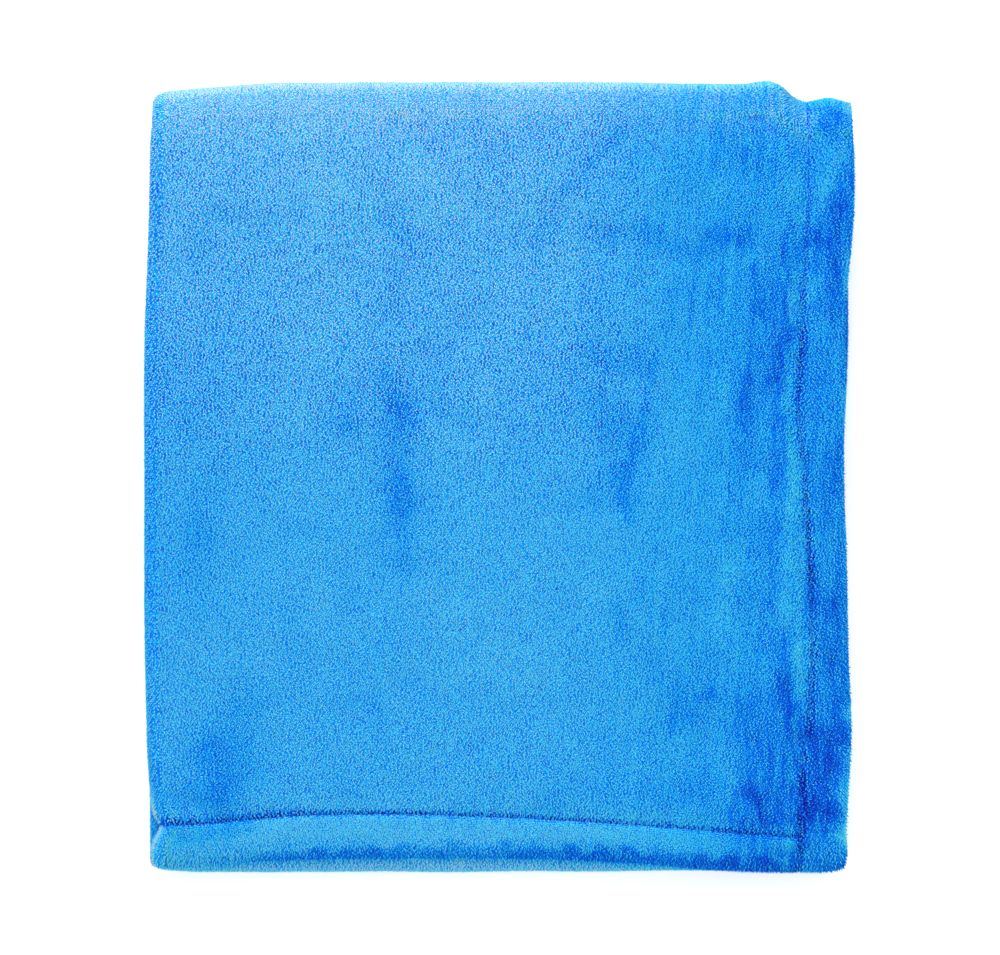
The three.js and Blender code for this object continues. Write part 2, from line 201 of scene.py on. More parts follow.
# Where the cloth runs from side to side: four flat layers and the three folds between them
def acrossAt(place, y, lower):
    edges = edgesAt(y, lower)
    section = np.minimum(np.floor(place), 6).astype(int)
    run = place - section
    turn = math.pi * run
    halfCloth = cloth['thickness'] / 2
    outerDepth, innerDepth = cloth['outerFoldDepth'], cloth['innerFoldDepth']
    outerStart = edges['left'] + halfCloth + outerDepth
    innerStart = edges['innerLeft'] + cloth['innerFoldClearance'] + 3 * halfCloth + innerDepth
    rightStart = edges['foldedRight'] - halfCloth - innerDepth
    hemEdge = edges['right'] - cloth['pileDepth'] - np.where(section == 6, cloth['secondEdge'], 0)
    hemEnd = hemEdge - hemRun * edges['hem']
    x = np.choose(section, [
        alongHemmedRun(run, hemEdge, hemEnd, outerStart),
        outerStart - outerDepth * np.sin(turn),
        lerp(outerStart, rightStart, run),
        rightStart + innerDepth * np.sin(turn),
        lerp(rightStart, innerStart, run),
        innerStart - innerDepth * np.sin(turn),
        alongHemmedRun(1 - run, hemEdge, hemEnd, innerStart),
    ])
    hemmed = (section == 0) | (section == 6)
    hems = np.where(hemmed, (hemEdge - x) / edges['hem'], farFromHem)
    return {'x': x, 'section': section, 'run': run, 'turn': turn, 'hems': hems, 'hemWidth': edges['hem']}


# Where the thirds end, near and far, at x
def reachAt(x):
    read = {name: readTable(nearRows, nearColumns, name, x) for name in nearColumns[1:]}
    stack = 4 * (cloth['thickness'] + cloth['layerGap']) - cloth['layerGap'] / 2
    inset = readTable(farRows, farColumns, 'inset', x)
    farStart = cloth['farLine'] - inset - cloth['farFoldDepth'] - stack
    return {
        'edge': cloth['nearLine'] + read['edge'],
        'hem': read['hem'],
        'farStart': farStart,
        'nearStart': cloth['nearLine'] + read['fold'] + cloth['nearFoldDepth'] + stack,
        'hidden': farStart - cloth['innerEndGap'],
    }


# Heights of a third's four layers above its base
def layerHeights(sideHems, endZone):
    heights, top = {}, 0
    for layer in (4, 3, 2, 1):
        sideZone = hemZone(sideHems) if layer < 3 else 0
        pitch = cloth['thickness'] + cloth['layerGap'] + cloth['hemSwell'] * np.maximum(endZone, sideZone)
        heights[layer] = top + pitch / 2
        top = top + pitch
    heights['total'] = top
    return heights


# Height of each third's base
def levelsAt(x, y, reach):
    edges = edgesAt(y, 1)
    sideHems = (edges['right'] - x) / edges['hem']
    lowest = lerp(cloth['thickness'], cloth['hemThickness'], hemZone(sideHems)) / 2
    bottom = lowest + layerHeights(sideHems, 0)[1]
    middle = bottom + 2 * cloth['nearFoldDepth']
    hiddenZone = hemZone((reach['hidden'] - y) / reach['hem'])
    top = middle + layerHeights(sideHems, hiddenZone)['total'] + cloth['panelGap']
    overhang = np.maximum(reach['nearStart'] - y, 0)
    return {'bottom': bottom, 'middle': middle, 'top': top - overhang ** 2 / (2 * cloth['overhangRadius'])}


# A layer's own value, eased into the next layer's round a fold
def betweenLayers(section, turnShare, values):
    ordered = np.array([values[layer - 1] for layer in layerOrder])
    here = section // 2
    after = np.where(section % 2 == 1, np.minimum(here + 1, 3), here)
    return lerp(ordered[here], ordered[after], turnShare)


# Where the cloth runs from near to far and back: three thirds and the two folds between them
def alongAt(section, run, reach, across):
    turnShare = smoothstep(across['run'], 0, 1)
    slid = {end: betweenLayers(across['section'], turnShare, slides[end]) for end in slides}
    nearEnd = reach['edge'] + cloth['pileDepth'] + slid['near']
    hiddenEnd = reach['hidden'] - cloth['pileDepth'] - slid['hidden']
    hemLength = hemRun * reach['hem']
    y = np.choose(section, [
        alongHemmedRun(run, nearEnd, nearEnd + hemLength, reach['farStart']),
        reach['farStart'],
        lerp(reach['farStart'], reach['nearStart'], run),
        reach['nearStart'],
        alongHemmedRun(1 - run, hiddenEnd, hiddenEnd - hemLength, reach['nearStart']),
    ])
    none = np.full(np.shape(y), farFromHem)
    nearHems, hiddenHems = (y - nearEnd) / reach['hem'], (hiddenEnd - y) / reach['hem']
    return y, np.choose(section, [nearHems, none, none, none, hiddenHems])


# Face that the layers of a fold are built up on: y, z and its normal's y, z
def foldFace(y, startLevel, endLevel, reachOut, turn):
    rise = (startLevel - endLevel) / 2
    normalY = np.sign(reachOut) * np.sin(turn) * np.abs(rise)
    normalZ = np.sign(rise) * np.cos(turn) * abs(reachOut)
    length = np.hypot(normalY, normalZ)
    middle = (startLevel + endLevel) / 2
    return y + reachOut * np.sin(turn), middle + rise * np.cos(turn), normalY / length, normalZ / length


# The rim of a hem is round
def rimShare(hems, width):
    inward = np.clip(hems * width / (cloth['hemThickness'] / 2 - cloth['pileDepth']), 0, 1)
    return np.sqrt(1 - (1 - inward) ** 2)


# A seam is a round-bottomed groove
def pinchShare(hems):
    return np.exp(-((hems - 1) / (cloth['hemEase'] * 0.45)) ** 2)


# Thickness of the cloth under its pile
def thicknessAt(across, endHems, endHemWidth):
    ease = cloth['hemEase']
    sideBody = 1 - smoothstep(across['hems'], 1 - ease / 4, 1 + ease)
    endBody = 1 - smoothstep(endHems, 1 - ease / 4, 1 + ease)
    body = lerp(cloth['thickness'], cloth['hemThickness'], np.maximum(sideBody, endBody))
    endPinch = np.where(across['hems'] < 1, 0, pinchShare(endHems))
    seam = np.maximum(pinchShare(across['hems']), endPinch)
    full = lerp(body, cloth['seamThickness'], seam) - 2 * cloth['pileDepth']
    return full * rimShare(across['hems'], across['hemWidth']) * rimShare(endHems, endHemWidth)


# How the stack's height varies from place to place
def stackScale(x, y):
    top = 12 * (cloth['thickness'] + cloth['layerGap'])
    far, side = cloth['farLine'], cloth['halfWidth']
    lift = -cloth['farDrop'] * smoothstep(y, far - cloth['farDropReach'], far)
    lift = lift - cloth['leftDrop'] * smoothstep(-x, side - cloth['leftDropReach'], side)
    for cx, cy, reachX, reachY, height in swells:
        lift = lift + height * np.exp(-(((x - cx) / reachX) ** 2 + ((y - cy) / reachY) ** 2))
    return 1 + lift / top


def creaseLift(x, y):
    lift = np.zeros(np.shape(x))
    for cx, cy, length, width, turn, height in creases:
        turned = math.radians(turn)
        along = -(x - cx) * math.sin(turned) + (y - cy) * math.cos(turned)
        across = (x - cx) * math.cos(turned) + (y - cy) * math.sin(turned)
        across = across + 0.12 * width * np.sin(along / width)
        lift = lift + height * np.exp(-(across / width) ** 2 - (along / length) ** 4)
    return lift


# A seam's stitches draw the cloth in, in uneven waves along it
def puckerAt(hems, along, drift):
    wave = np.sin(2 * math.pi * along / cloth['puckerLength'] + 2 * np.sin(along / drift))
    return np.exp(-((hems - 1) / cloth['puckerReach']) ** 2) * wave


# How far the top layer sinks at its seams and where the edge of a hem rolls down
def sinkAt(y, across, endHems, endHemWidth):
    fromRight = np.abs(across['hems'] - 1) * across['hemWidth']
    fromNear = np.where(across['hems'] < 1, 99, np.abs(endHems - 1) * endHemWidth)
    rightShare = cloth['rightSeamShare'] * (1 - 0.6 * smoothstep(y, 60, 180))
    sink = 0
    for away, share in ((fromRight, rightShare), (fromNear, 1)):
        sink = sink + share * cloth['seamSink'] * np.exp(-(away / cloth['seamSinkReach']) ** 2)
        sink = sink + share * cloth['seamEase'] * np.exp(-(away / cloth['seamEaseReach']) ** 2)
    rollX = np.clip(1 - across['hems'] * across['hemWidth'] / cloth['rollReach'], 0, 1)
    rollY = np.clip(1 - endHems * endHemWidth / cloth['rollReach'], 0, 1)
    return sink + cloth['rollDrop'] * (rollX ** 2 + rollY ** 2)


# The cloth's middle surface at places across its layers (0 to 7) and along its thirds (0 to 5)
def clothAt(acrossPlace, alongPlace):
    lower = np.clip(alongPlace - 1, 0, 1)
    section = np.minimum(np.floor(alongPlace), 4).astype(int)
    run = alongPlace - section
    turn = math.pi * run
    guess = acrossAt(acrossPlace, 0 * alongPlace, lower)
    guessY, _ = alongAt(section, run, reachAt(guess['x']), guess)
    across = acrossAt(acrossPlace, guessY, lower)
    reach = reachAt(across['x'])
    y, endHems = alongAt(section, run, reach, across)
    levels = levelsAt(across['x'], y, reach)

    edges = edgesAt(y, lower)
    heights = layerHeights((edges['right'] - across['x']) / edges['hem'], hemZone(endHems))
    byOrder = [heights[layer] for layer in layerOrder]
    here = across['section'] // 2
    after = np.where(across['section'] % 2 == 1, np.minimum(here + 1, 3), here)
    height = lerp(np.choose(after, byOrder), np.choose(here, byOrder), (1 + np.cos(across['turn'])) / 2)

    farFold = foldFace(y, levels['top'], levels['bottom'], cloth['farFoldDepth'], turn)
    nearFold = foldFace(y, levels['bottom'], levels['middle'], -cloth['nearFoldDepth'], turn)
    flat, up, down = 0 * y, 0 * y + 1, 0 * y - 1
    faceY = np.choose(section, [y, farFold[0], y, nearFold[0], y])
    faceZ = np.choose(section, [levels['top'], farFold[1], levels['bottom'], nearFold[1], levels['middle']])
    normalY = np.choose(section, [flat, farFold[2], flat, nearFold[2], flat])
    normalZ = np.choose(section, [up, farFold[3], down, nearFold[3], up])

    # Ripples of every layer, creases of the top one and the pull of its seams
    x = across['x']
    ripple = cloth['ripple'] * wander(x + 37 * acrossPlace, y + 23 * alongPlace, cloth['rippleLength'], 5)
    topLayer = (across['section'] == 0) & (section == 0)
    pucker = puckerAt(across['hems'], y, 19) + puckerAt(endHems, x, 23) * (across['hems'] > 1)
    sink = sinkAt(y, across, endHems, reach['hem'])
    extra = creaseLift(x, y) + cloth['seamPucker'] * pucker - sink
    underside = (1 - smoothstep(np.abs(alongPlace - 2.5), 0.5, 0.8)) * (1 - smoothstep(acrossPlace, 1, 1.4))
    ripple = ripple * (1 - underside) + np.where(topLayer, extra, 0)
    height = height + ripple
    point = np.stack([x, faceY + normalY * height, faceZ + normalZ * height], -1)
    return point, thicknessAt(across, endHems, reach['hem'])


# Points on the cloth's outer (1) or inner (-1) skin, with the way that skin faces
def skinAt(acrossPlace, alongPlace, skin):
    step = 1e-4
    point, thickness = clothAt(acrossPlace, alongPlace)
    low, high = np.clip(acrossPlace - step, 0, 7), np.clip(acrossPlace + step, 0, 7)
    acrossSlope = clothAt(high, alongPlace)[0] - clothAt(low, alongPlace)[0]
    low, high = np.clip(alongPlace - step, 0, 5), np.clip(alongPlace + step, 0, 5)
    alongSlope = clothAt(acrossPlace, high)[0] - clothAt(acrossPlace, low)[0]
    normal = np.cross(alongSlope, acrossSlope)
    normal = skin * normal / np.linalg.norm(normal, axis=-1, keepdims=True)
    place = point + normal * (thickness / 2)[..., None]
    place[..., 2] = np.maximum(place[..., 2] * stackScale(place[..., 0], place[..., 1]), 0)
    return place, normal


# Lines of the mesh, close over hems and folds and on the side that shows
hemSteps = np.array([
    0, .012, .03, .06, .11, .2, .34, .48, .62, .74, .84, .9, .94, .97, 1, 1.03, 1.06, 1.1, hemRun,
])
plainHemSteps = np.array([0, .012, .03, .07, .14, .4, .7, .86, .93, 1, 1.07, hemRun])


def hemmedLines(steps, fieldLines):
    overHem = hemShare * steps / hemRun
    return np.concatenate([overHem, lerp(hemShare, 1, np.arange(1, fieldLines + 1) / fieldLines)])


def evenLines(count):
    return np.arange(count + 1) / count


def joinRuns(runs):
    return np.concatenate([[0.0]] + [run + lines[1:] for run, lines in enumerate(runs)])


meshLines = {'topAcross': 74, 'hiddenAcross': 24, 'topAlong': 78, 'lowerAlong': 26}
acrossPlaces = joinRuns([
    hemmedLines(hemSteps, meshLines['topAcross']),
    evenLines(12),
    evenLines(meshLines['hiddenAcross']),
    evenLines(8),
    evenLines(meshLines['hiddenAcross']),
    evenLines(6),
    1 - hemmedLines(plainHemSteps, meshLines['hiddenAcross'])[::-1],
])
alongPlaces = joinRuns([
    hemmedLines(hemSteps, meshLines['topAlong']),
    evenLines(18),
    evenLines(meshLines['lowerAlong']),
    evenLines(12),
    1 - hemmedLines(plainHemSteps, meshLines['lowerAlong'] - 6)[::-1],
])

# How the pile lies, stroke by stroke, with painted shade along the wrinkles towards the far fold: from x, y
# to x, y, the stroke's half width at each end, how much deeper the colour looks
napStrokes = [
    # streak left of the middle
    (-61, 58, -57, 41, 5.9, 6.5, 0.12), (-56, 40, -51, 34, 5.9, 7.1, 0.09),
    (-55, 36, -55, 0, 11.3, 10.1, 0.12), (-55, -4, -54, -12, 7.1, 7.7, 0.14),
    (-53, -15, -51, -47, 6.5, 5.9, 0.14), (-60, -23, -63, -29, 4.8, 4.8, 0.04),
    (-78, 52, -86, 29, 8.9, 8.9, 0.06), (-83, 29, -78, 26, 5.3, 5.3, 0.07),
    (-92, 19, -102, 12, 6.5, 6.5, 0.04), (-29, 72, -37, 43, 4.8, 4.8, 0.04),
    (-32, 36, -4, 31, 5.3, 5.3, 0.06),
    # streaks right of the middle
    (50, 67, 72, 63, 7.9, 7.4, 0.11), (55, 96, 55, 75, 6.8, 6.8, 0.04), (52, 42, 57, 25, 7.9, 8.5, 0.12),
    (69, 32, 76, 28, 4.5, 4.5, 0.06), (83, 66, 79, 37, 2, 2.3, 0.18), (79, 37, 70, 8, 2.8, 5.1, 0.21),
    (66, 2, 70, -23, 5.7, 4, 0.22), (57, 4, 49, -9, 6.8, 6.8, 0.09), (52, -12, 22, -14, 4, 3.4, 0.04),
    (93, 96, 94, 69, 5.1, 5.1, 0.04), (103, 102, 104, 80, 2.3, 2.3, 0.06), (63, -68, 67, -86, 4.5, 4.5, 0.12),
    (77, -59, 76, -65, 4, 4, 0.11), (98, -59, 108, -61, 5.1, 5.1, 0.04), (117, -61, 124, -65, 1.4, 1.4, 0.12),
    (79, -94, 83, -111, 4, 4, 0.04),
    # wrinkles towards the far fold, darker along them: painted shade
    (79, 195, 65, 188, 2.2, 2.2, 0.07), (65, 188, 50, 173, 2.7, 2.7, 0.13), (50, 173, 36, 156, 2.7, 2.7, 0.1),
    (36, 156, 21, 131, 3.8, 4.9, 0.07), (30, 190, 12, 177, 2.2, 2.2, 0.08),
    (76, 178, 56, 153, 2.2, 2.2, 0.04), (103, 198, 97, 196, 2.7, 2.7, 0.07),
    (118, 201, 120, 173, 2.2, 2.2, 0.08), (133, 178, 132, 168, 3.8, 3.2, 0.13),
    (141, 191, 143, 162, 3.8, 4.3, 0.07), (160, 178, 160, 171, 2.2, 2.2, 0.18),
    (42, 126, 22, 91, 3.2, 3.2, -0.05), (22, 91, 9, 44, 3.2, 3.2, -0.04), (39, 151, 39, 80, 2.7, 2.7, -0.035),
    (76, 183, 54, 160, 2.7, 2.7, -0.035), (-48, 178, -32, 147, 14, 14, -0.06),
    (0, 198, 6, 189, 7.6, 7.6, -0.04), (-12, 201, -16, 193, 5.4, 5.4, 0.05),
    (-5, 178, 0, 177, 2.7, 2.7, 0.06), (-37, 180, -40, 179, 2.7, 2.7, 0.05),
    (-59, 195, -63, 156, 2.7, 2.7, 0.05), (-66, 144, -55, 131, 4.9, 4.9, 0.1),
    (-55, 131, -29, 133, 3.2, 3.2, 0.07), (-53, 119, -65, 92, 3.8, 4.9, 0.07),
    (-63, 90, -68, 90, 3.8, 3.8, 0.04),
    # marks where the throw lay folded before
    (50, 138, 63, 130, 5.9, 6.5, 0.1), (76, 137, 82, 132, 5.4, 5.4, 0.11), (89, 126, 109, 124, 5.9, 6.5, 0.1),
    (114, 133, 131, 131, 5.4, 6.5, 0.18), (134, 130, 151, 127, 4.3, 4.9, 0.06),
    (32, 133, 43, 132, 4.3, 4.3, 0.037), (-22, 130, 11, 132, 3.2, 3.2, 0.037),
    (-135, 126, -81, 127, 2.7, 2.7, 0.025), (-97, 29, -65, 31, 3.2, 3.2, 0.025),
    (0, 32, 54, 30, 2.7, 2.7, 0.025), (-86, -14, 11, -15, 2.7, 2.7, 0.025),
    (-89, -119, -66, -121, 3.8, 4.3, 0.05), (-66, -123, -62, -152, 5.4, 5.4, 0.031),
    (-49, -118, -41, -118, 3.2, 3.2, 0.037), (-11, -120, 54, -118, 3.2, 3.2, 0.025),
    (-118, -29, -70, -26, 3.2, 3.2, 0.025), (-92, -170, -75, -171, 2.7, 2.7, 0.05),
    # brushed ground beside the right hem
    (137, 114, 140, 94, 3.2, 3.2, 0.15), (144, 96, 134, 57, 10.8, 9.7, 0.1),
    (153, 106, 157, 79, 4.3, 3.8, 0.18), (156, 79, 150, 54, 4.3, 4.9, 0.29),
    (149, 53, 151, 31, 3.6, 3.6, 0.13), (133, 53, 131, 29, 4.3, 3.8, 0.22), (132, 27, 133, 2, 7.6, 7.6, 0.11),
    (150, 31, 151, -5, 4.3, 4.3, 0.17), (141, -7, 145, -30, 7.6, 7.6, 0.06),
    (149, -5, 146, -69, 2.2, 2.2, 0.13), (136, -61, 138, -88, 7.6, 7.6, 0.05),
    (146, -69, 154, -101, 2.2, 2.2, 0.13), (153, -109, 157, -126, 3.8, 3.8, 0.32),
    (158, -121, 157, -127, 2.7, 2.7, 0.11), (149, -101, 147, -121, 5.4, 5.4, 0.06),
    (93, -133, 114, -116, 4.9, 4.3, 0.15), (112, -111, 117, -118, 2.7, 2.7, 0.08),
    (114, -115, 141, -118, 5.4, 6.5, 0.06), (98, -115, 93, -122, 5.4, 5.4, 0.06),
    (132, -130, 143, -162, 11.9, 10.8, 0.16), (146, -137, 154, -170, 7.6, 6.5, 0.11),
    (132, -168, 145, -187, 3.8, 3.2, 0.36), (149, -173, 157, -172, 5.4, 5.4, 0.23),
    (136, -175, 157, -182, 5.4, 4.3, 0.15), (131, -189, 141, -192, 5.4, 5.4, 0.15),
    (59, -121, 60, -170, 2.2, 2.2, 0.026), (30, -176, 41, -182, 4.9, 4.9, 0.04),
    (108, -159, 110, -182, 6.5, 6.5, 0.05), (65, -153, 108, -175, 21.6, 16.2, 0.032),
    (-16, -178, 22, -181, 7.6, 5.4, 0.04),
    # light streaks beside the right seam
    (118, -145, 124, -163, 3.4, 3.4, -0.06), (157, 117, 158, 87, 2.4, 2.4, -0.06),
    (164, 153, 166, 133, 1.9, 1.9, -0.021), (157, 79, 156, 77, 1.9, 1.9, -0.021),
    (157, 14, 158, -23, 2.4, 2.4, -0.1), (154, -27, 153, -69, 3.4, 3.4, -0.06),
    (154, -70, 162, -99, 3.9, 2.9, -0.05), (162, -99, 163, -127, 1.9, 1.9, -0.06),
    (170, -88, 172, -130, 2.4, 2.4, -0.06), (168, 4, 170, -45, 1.9, 1.9, -0.035),
    (170, 102, 172, 80, 3.9, 3.9, -0.035), (149, -190, 158, -192, 3.4, 3.4, -0.06),
    (167, -195, 185, -196, 2.9, 2.9, -0.07), (173, 178, 185, 172, 5.8, 4.4, -0.035),
    (181, 69, 185, 48, 2.9, 2.9, -0.035), (185, -23, 185, -67, 1.9, 1.9, -0.04),
    # right hem
    (183, 196, 177, 189, 4.9, 3.8, 0.12), (188, 166, 183, 147, 4.9, 4.9, 0.15),
    (183, 147, 181, 117, 5.9, 5.4, 0.2), (181, 117, 183, 87, 4.3, 3.8, 0.15),
    (168, 129, 175, 128, 4.3, 3.8, 0.19), (162, 125, 165, 117, 3.2, 2.7, 0.08),
    (187, 28, 183, -4, 4.9, 6.5, 0.12), (177, -1, 176, -25, 5.9, 5.9, 0.08),
    (174, -69, 180, -67, 7, 6.5, 0.24), (176, -76, 180, -132, 8, 8, 0.08),
    (183, -72, 184, -88, 3.8, 3.8, 0.11), (178, -93, 181, -123, 4.9, 4.9, 0.11),
    (165, -139, 185, -138, 5.9, 7, 0.27), (176, -146, 180, -154, 8.6, 8.1, 0.23),
    (174, -154, 170, -178, 7, 7.6, 0.27),
    (164, -182, 179, -179, 6.5, 6.5, 0.25), (181, -164, 179, -182, 4.9, 4.9, 0.11),
    (179, -202, 185, -209, 4.3, 4.3, 0.05), (163, -159, 164, -187, 2.7, 2.7, 0.19),
    # left side and broad, faint areas
    (-187, 166, -185, 126, 3.8, 3.8, 0.09), (-189, 96, -188, -88, 6.5, 6.5, 0.04),
    (-158, -149, -149, -171, 9.2, 7.6, 0.11), (-150, -159, -148, -172, 4.3, 4.3, 0.04),
    (-136, -124, -154, -162, 13, 14, 0.07), (-140, -124, -131, -124, 3.8, 3.8, 0.04),
    (-168, -174, -154, -178, 5.4, 5.4, 0.04), (-165, -27, -162, -67, 8.6, 9.7, 0.05),
    (-159, 4, -167, -45, 15.1, 15.1, 0.038), (-170, 61, -166, 29, 11.9, 11.9, 0.04),
    (-156, 144, -165, 115, 7.6, 6.5, 0.05), (-154, 147, -129, 142, 7, 7, 0.05),
    (-146, -45, -108, -50, 16.2, 16.2, -0.022), (-108, 80, -81, 69, 21.6, 21.6, -0.03),
    (-22, -88, 11, -110, 27, 21.6, -0.03), (32, -34, 54, -56, 27, 27, -0.022),
    (91, 36, 108, -1, 11.9, 11.9, -0.05), (-173, -88, -130, -94, 10.8, 10.8, -0.022),
    (11, 118, 0, 80, 16.2, 16.2, -0.022), (103, -34, 119, -45, 13.5, 13.5, -0.03),
    (-150, -146, -146, -166, 13, 13, 0.09), (-30, 22, -20, 18, 10, 6, -0.05), (-5, 50, -8, 34, 7, 8, -0.08),
    (-96, -66, -96, -78, 8, 8, -0.07), (-40, -66, -38, -68, 7, 7, -0.06), (-125, 36, -108, 34, 10, 8, -0.05),
    (-96, 158, -70, 150, 9, 7, -0.05), (-100, 196, -104, 180, 8, 8, -0.05),
    # near hem and its right corner
    (128, -184, 156, -186, 8, 7, 0.22), (130, -201, 156, -201, 8, 5, 0.2), (163, -197, 176, -190, 6, 6, 0.18),
    (-172, -194, -135, -187, 6, 5, 0.2), (-58, -200, -2, -201, 5, 5, -0.14), (40, -201, 62, -202, 4, 4, 0.1),
    # beside the right seam
    (154, -114, 157, -150, 5, 5, 0.2), (158, 133, 156, 108, 5, 5, 0.2), (151, 68, 152, 42, 3, 3, 0.1),
    (138, -2, 140, -9, 6, 6, -0.16), (122, -52, 120, -80, 8, 8, -0.12), (122, -126, 124, -130, 5, 5, -0.1),
    (64, 42, 66, 22, 4, 6, 0.09), (19, 122, 20, 114, 5, 5, 0.08), (136, 40, 137, 34, 5, 5, 0.1),
    # light places on the right hem and along its edge
    (178, 166, 176, 148, 6, 6, -0.2), (168, 196, 168, 182, 5, 6, -0.16), (184, 184, 184, 172, 5, 5, -0.15),
    (168, 110, 167, 98, 4, 4, -0.14), (165, -12, 167, -32, 3, 3, -0.14), (167, -85, 168, -100, 3, 4, -0.12),
    (189, 120, 188, 106, 4, 4, -0.2), (188, 48, 188, 22, 4, 4, -0.2), (189, -124, 188, -200, 3.5, 4, -0.3),
    (175, 95, 176, 88, 4, 4, 0.1), (184, -34, 184, -66, 4, 4, 0.08),
    (186, -174, 186, -196, 6, 6, -0.32), (180, -150, 180, -158, 6, 5, -0.14), (186, 14, 187, 0, 3, 4, -0.12),
    # broad and faint
    (-165, 196, -60, 192, 26, 12, -0.06), (-96, 150, -100, -2, 22, 26, -0.035),
    (-20, 60, -12, -10, 26, 26, -0.03), (-8, -60, 10, -92, 30, 20, -0.025),
    (120, 48, 118, 30, 5, 7, -0.08), (42, 22, 50, 20, 8, 4, -0.07),
    (120, 110, 116, 98, 4, 5, 0.08), (150, 97, 150, 86, 4, 5, 0.1), (140, 66, 153, 60, 4, 4, 0.08),
    (84, -98, 90, -114, 7, 7, 0.06), (100, -122, 112, -120, 8, 4, 0.06), (25, -172, 100, -168, 12, 8, 0.045),
    (132, -140, 134, -166, 4, 6, 0.07), (152, -92, 155, -150, 5, 5, 0.08), (153, -173, 158, -178, 4, 4, 0.12),
    (-182, -168, -158, -175, 8, 6, 0.1), (-136, -150, -132, -160, 7, 8, 0.07),
    (-160, -32, -146, -34, 10, 8, 0.045),
]
# How the pile lies, and the painted shade and painted light laid over it
napAndShading = {
    'even': 0.3, 'rightDeeper': 0.085, 'farFoldSheen': 0.07, 'farFieldPaintedLight': 0.075, 'hemDeeper': 0.085,
    'seamShade': 0.24, 'seamRagged': 0.5, 'nearSeamReach': 1.3, 'rightSeamReach': 2.4, 'rightSeamShare': 0.8,
    'nearSeamShift': 1.3, 'seamThick': 1.2,
    'nearRollNapAndShade': 0.34, 'nearHemLighter': 0.08, 'stripSheen': 0.07, 'cornerRimHighlight': 0.4,
    'mostDeeper': 0.55,  # however many strokes lie over each other
    'mottle': 0.014, 'mottleLength': 26, 'ragged': 0.2, 'raggedLength': 5, 'raggedRight': 0.45,
    'brushed': 0.05, 'brushLength': 6, 'finelyBrushed': 0.03, 'fineBrushLength': 2.6, 'brushStretch': 0.16,
    'warp': 1.3, 'fineWarp': 0.8,
}

# Painted sheen: how much of a pale colour lies over the pile's lightest colour, standing in for light caught
# by its tips
paintedSheen = {
    'even': 0.42, 'farField': 0.2, 'far': 0.22, 'fold': 0.74,
    'strip': 0.75, 'cornerRim': 0.9, 'rightLess': 0.85,
}

# Heights between which the side of the stack passes into its top
topFrom, topAt = 24, 30


# How much of a stroke lies at a place, 1 along its middle
def strokeShare(x, y, stroke):
    startX, startY, endX, endY, startWidth, endWidth = stroke
    alongX, alongY = endX - startX, endY - startY
    run = ((x - startX) * alongX + (y - startY) * alongY) / max(alongX ** 2 + alongY ** 2, 1e-6)
    run = np.clip(run, 0, 1)
    away = np.hypot(x - startX - run * alongX, y - startY - run * alongY)
    return np.exp(-(away / lerp(startWidth, endWidth, run)) ** 2)


def onTopAt(z):
    return smoothstep(z, topFrom, topAt)


# The turned edge at the near left corner, where a painted rim highlight lies
def cornerRimAt(place):
    x, y, z = place[..., 0], place[..., 1], place[..., 2]
    rim = np.exp(-((x - edgesAt(y, 0)['left'] - 1.3) / 0.9) ** 2)
    return rim * (1 - smoothstep(y, -182, -160)) * onTopAt(z)


# How far a place lies in the groove of a seam, 1 in its middle
def inSeamAt(place):
    x, y, z = place[..., 0], place[..., 1], place[..., 2]
    edges, reach = edgesAt(y, 0), reachAt(x)
    fromRight = edges['right'] - x - edges['hem']
    past = y - reach['edge'] - reach['hem'] - napAndShading['nearSeamShift']
    alongRight = napAndShading['rightSeamShare'] * (1 - 0.8 * smoothstep(y, 60, 130))
    alongRight = alongRight * (0.85 + 0.5 * wander(x, y, 30, 16))
    alongNear = (1 - 0.45 * smoothstep(x, -70, -10)) * (0.9 + 0.3 * wander(x, y, 24, 23))
    thick = 1 - smoothstep(x, -130, -70)
    nearReach = napAndShading['nearSeamReach'] * np.where(past > 0, 1 + napAndShading['seamThick'] * thick, 1)
    right = np.exp(-(fromRight / napAndShading['rightSeamReach']) ** 2) * alongRight
    near = np.exp(-(past / nearReach) ** 2) * (fromRight > 0) * alongNear
    return np.maximum(right, near) * onTopAt(z)


# The smooth, light part of the near hem, below its seam
def onNearHemAt(place):
    x, y, z = place[..., 0], place[..., 1], place[..., 2]
    edges, reach = edgesAt(y, 0), reachAt(x)
    fromNear = y - reach['edge']
    onHem = smoothstep(fromNear, 8, 14) * (1 - smoothstep(fromNear - reach['hem'], -1.5, 0))
    return onHem * (edges['right'] - x > edges['hem']) * onTopAt(z)
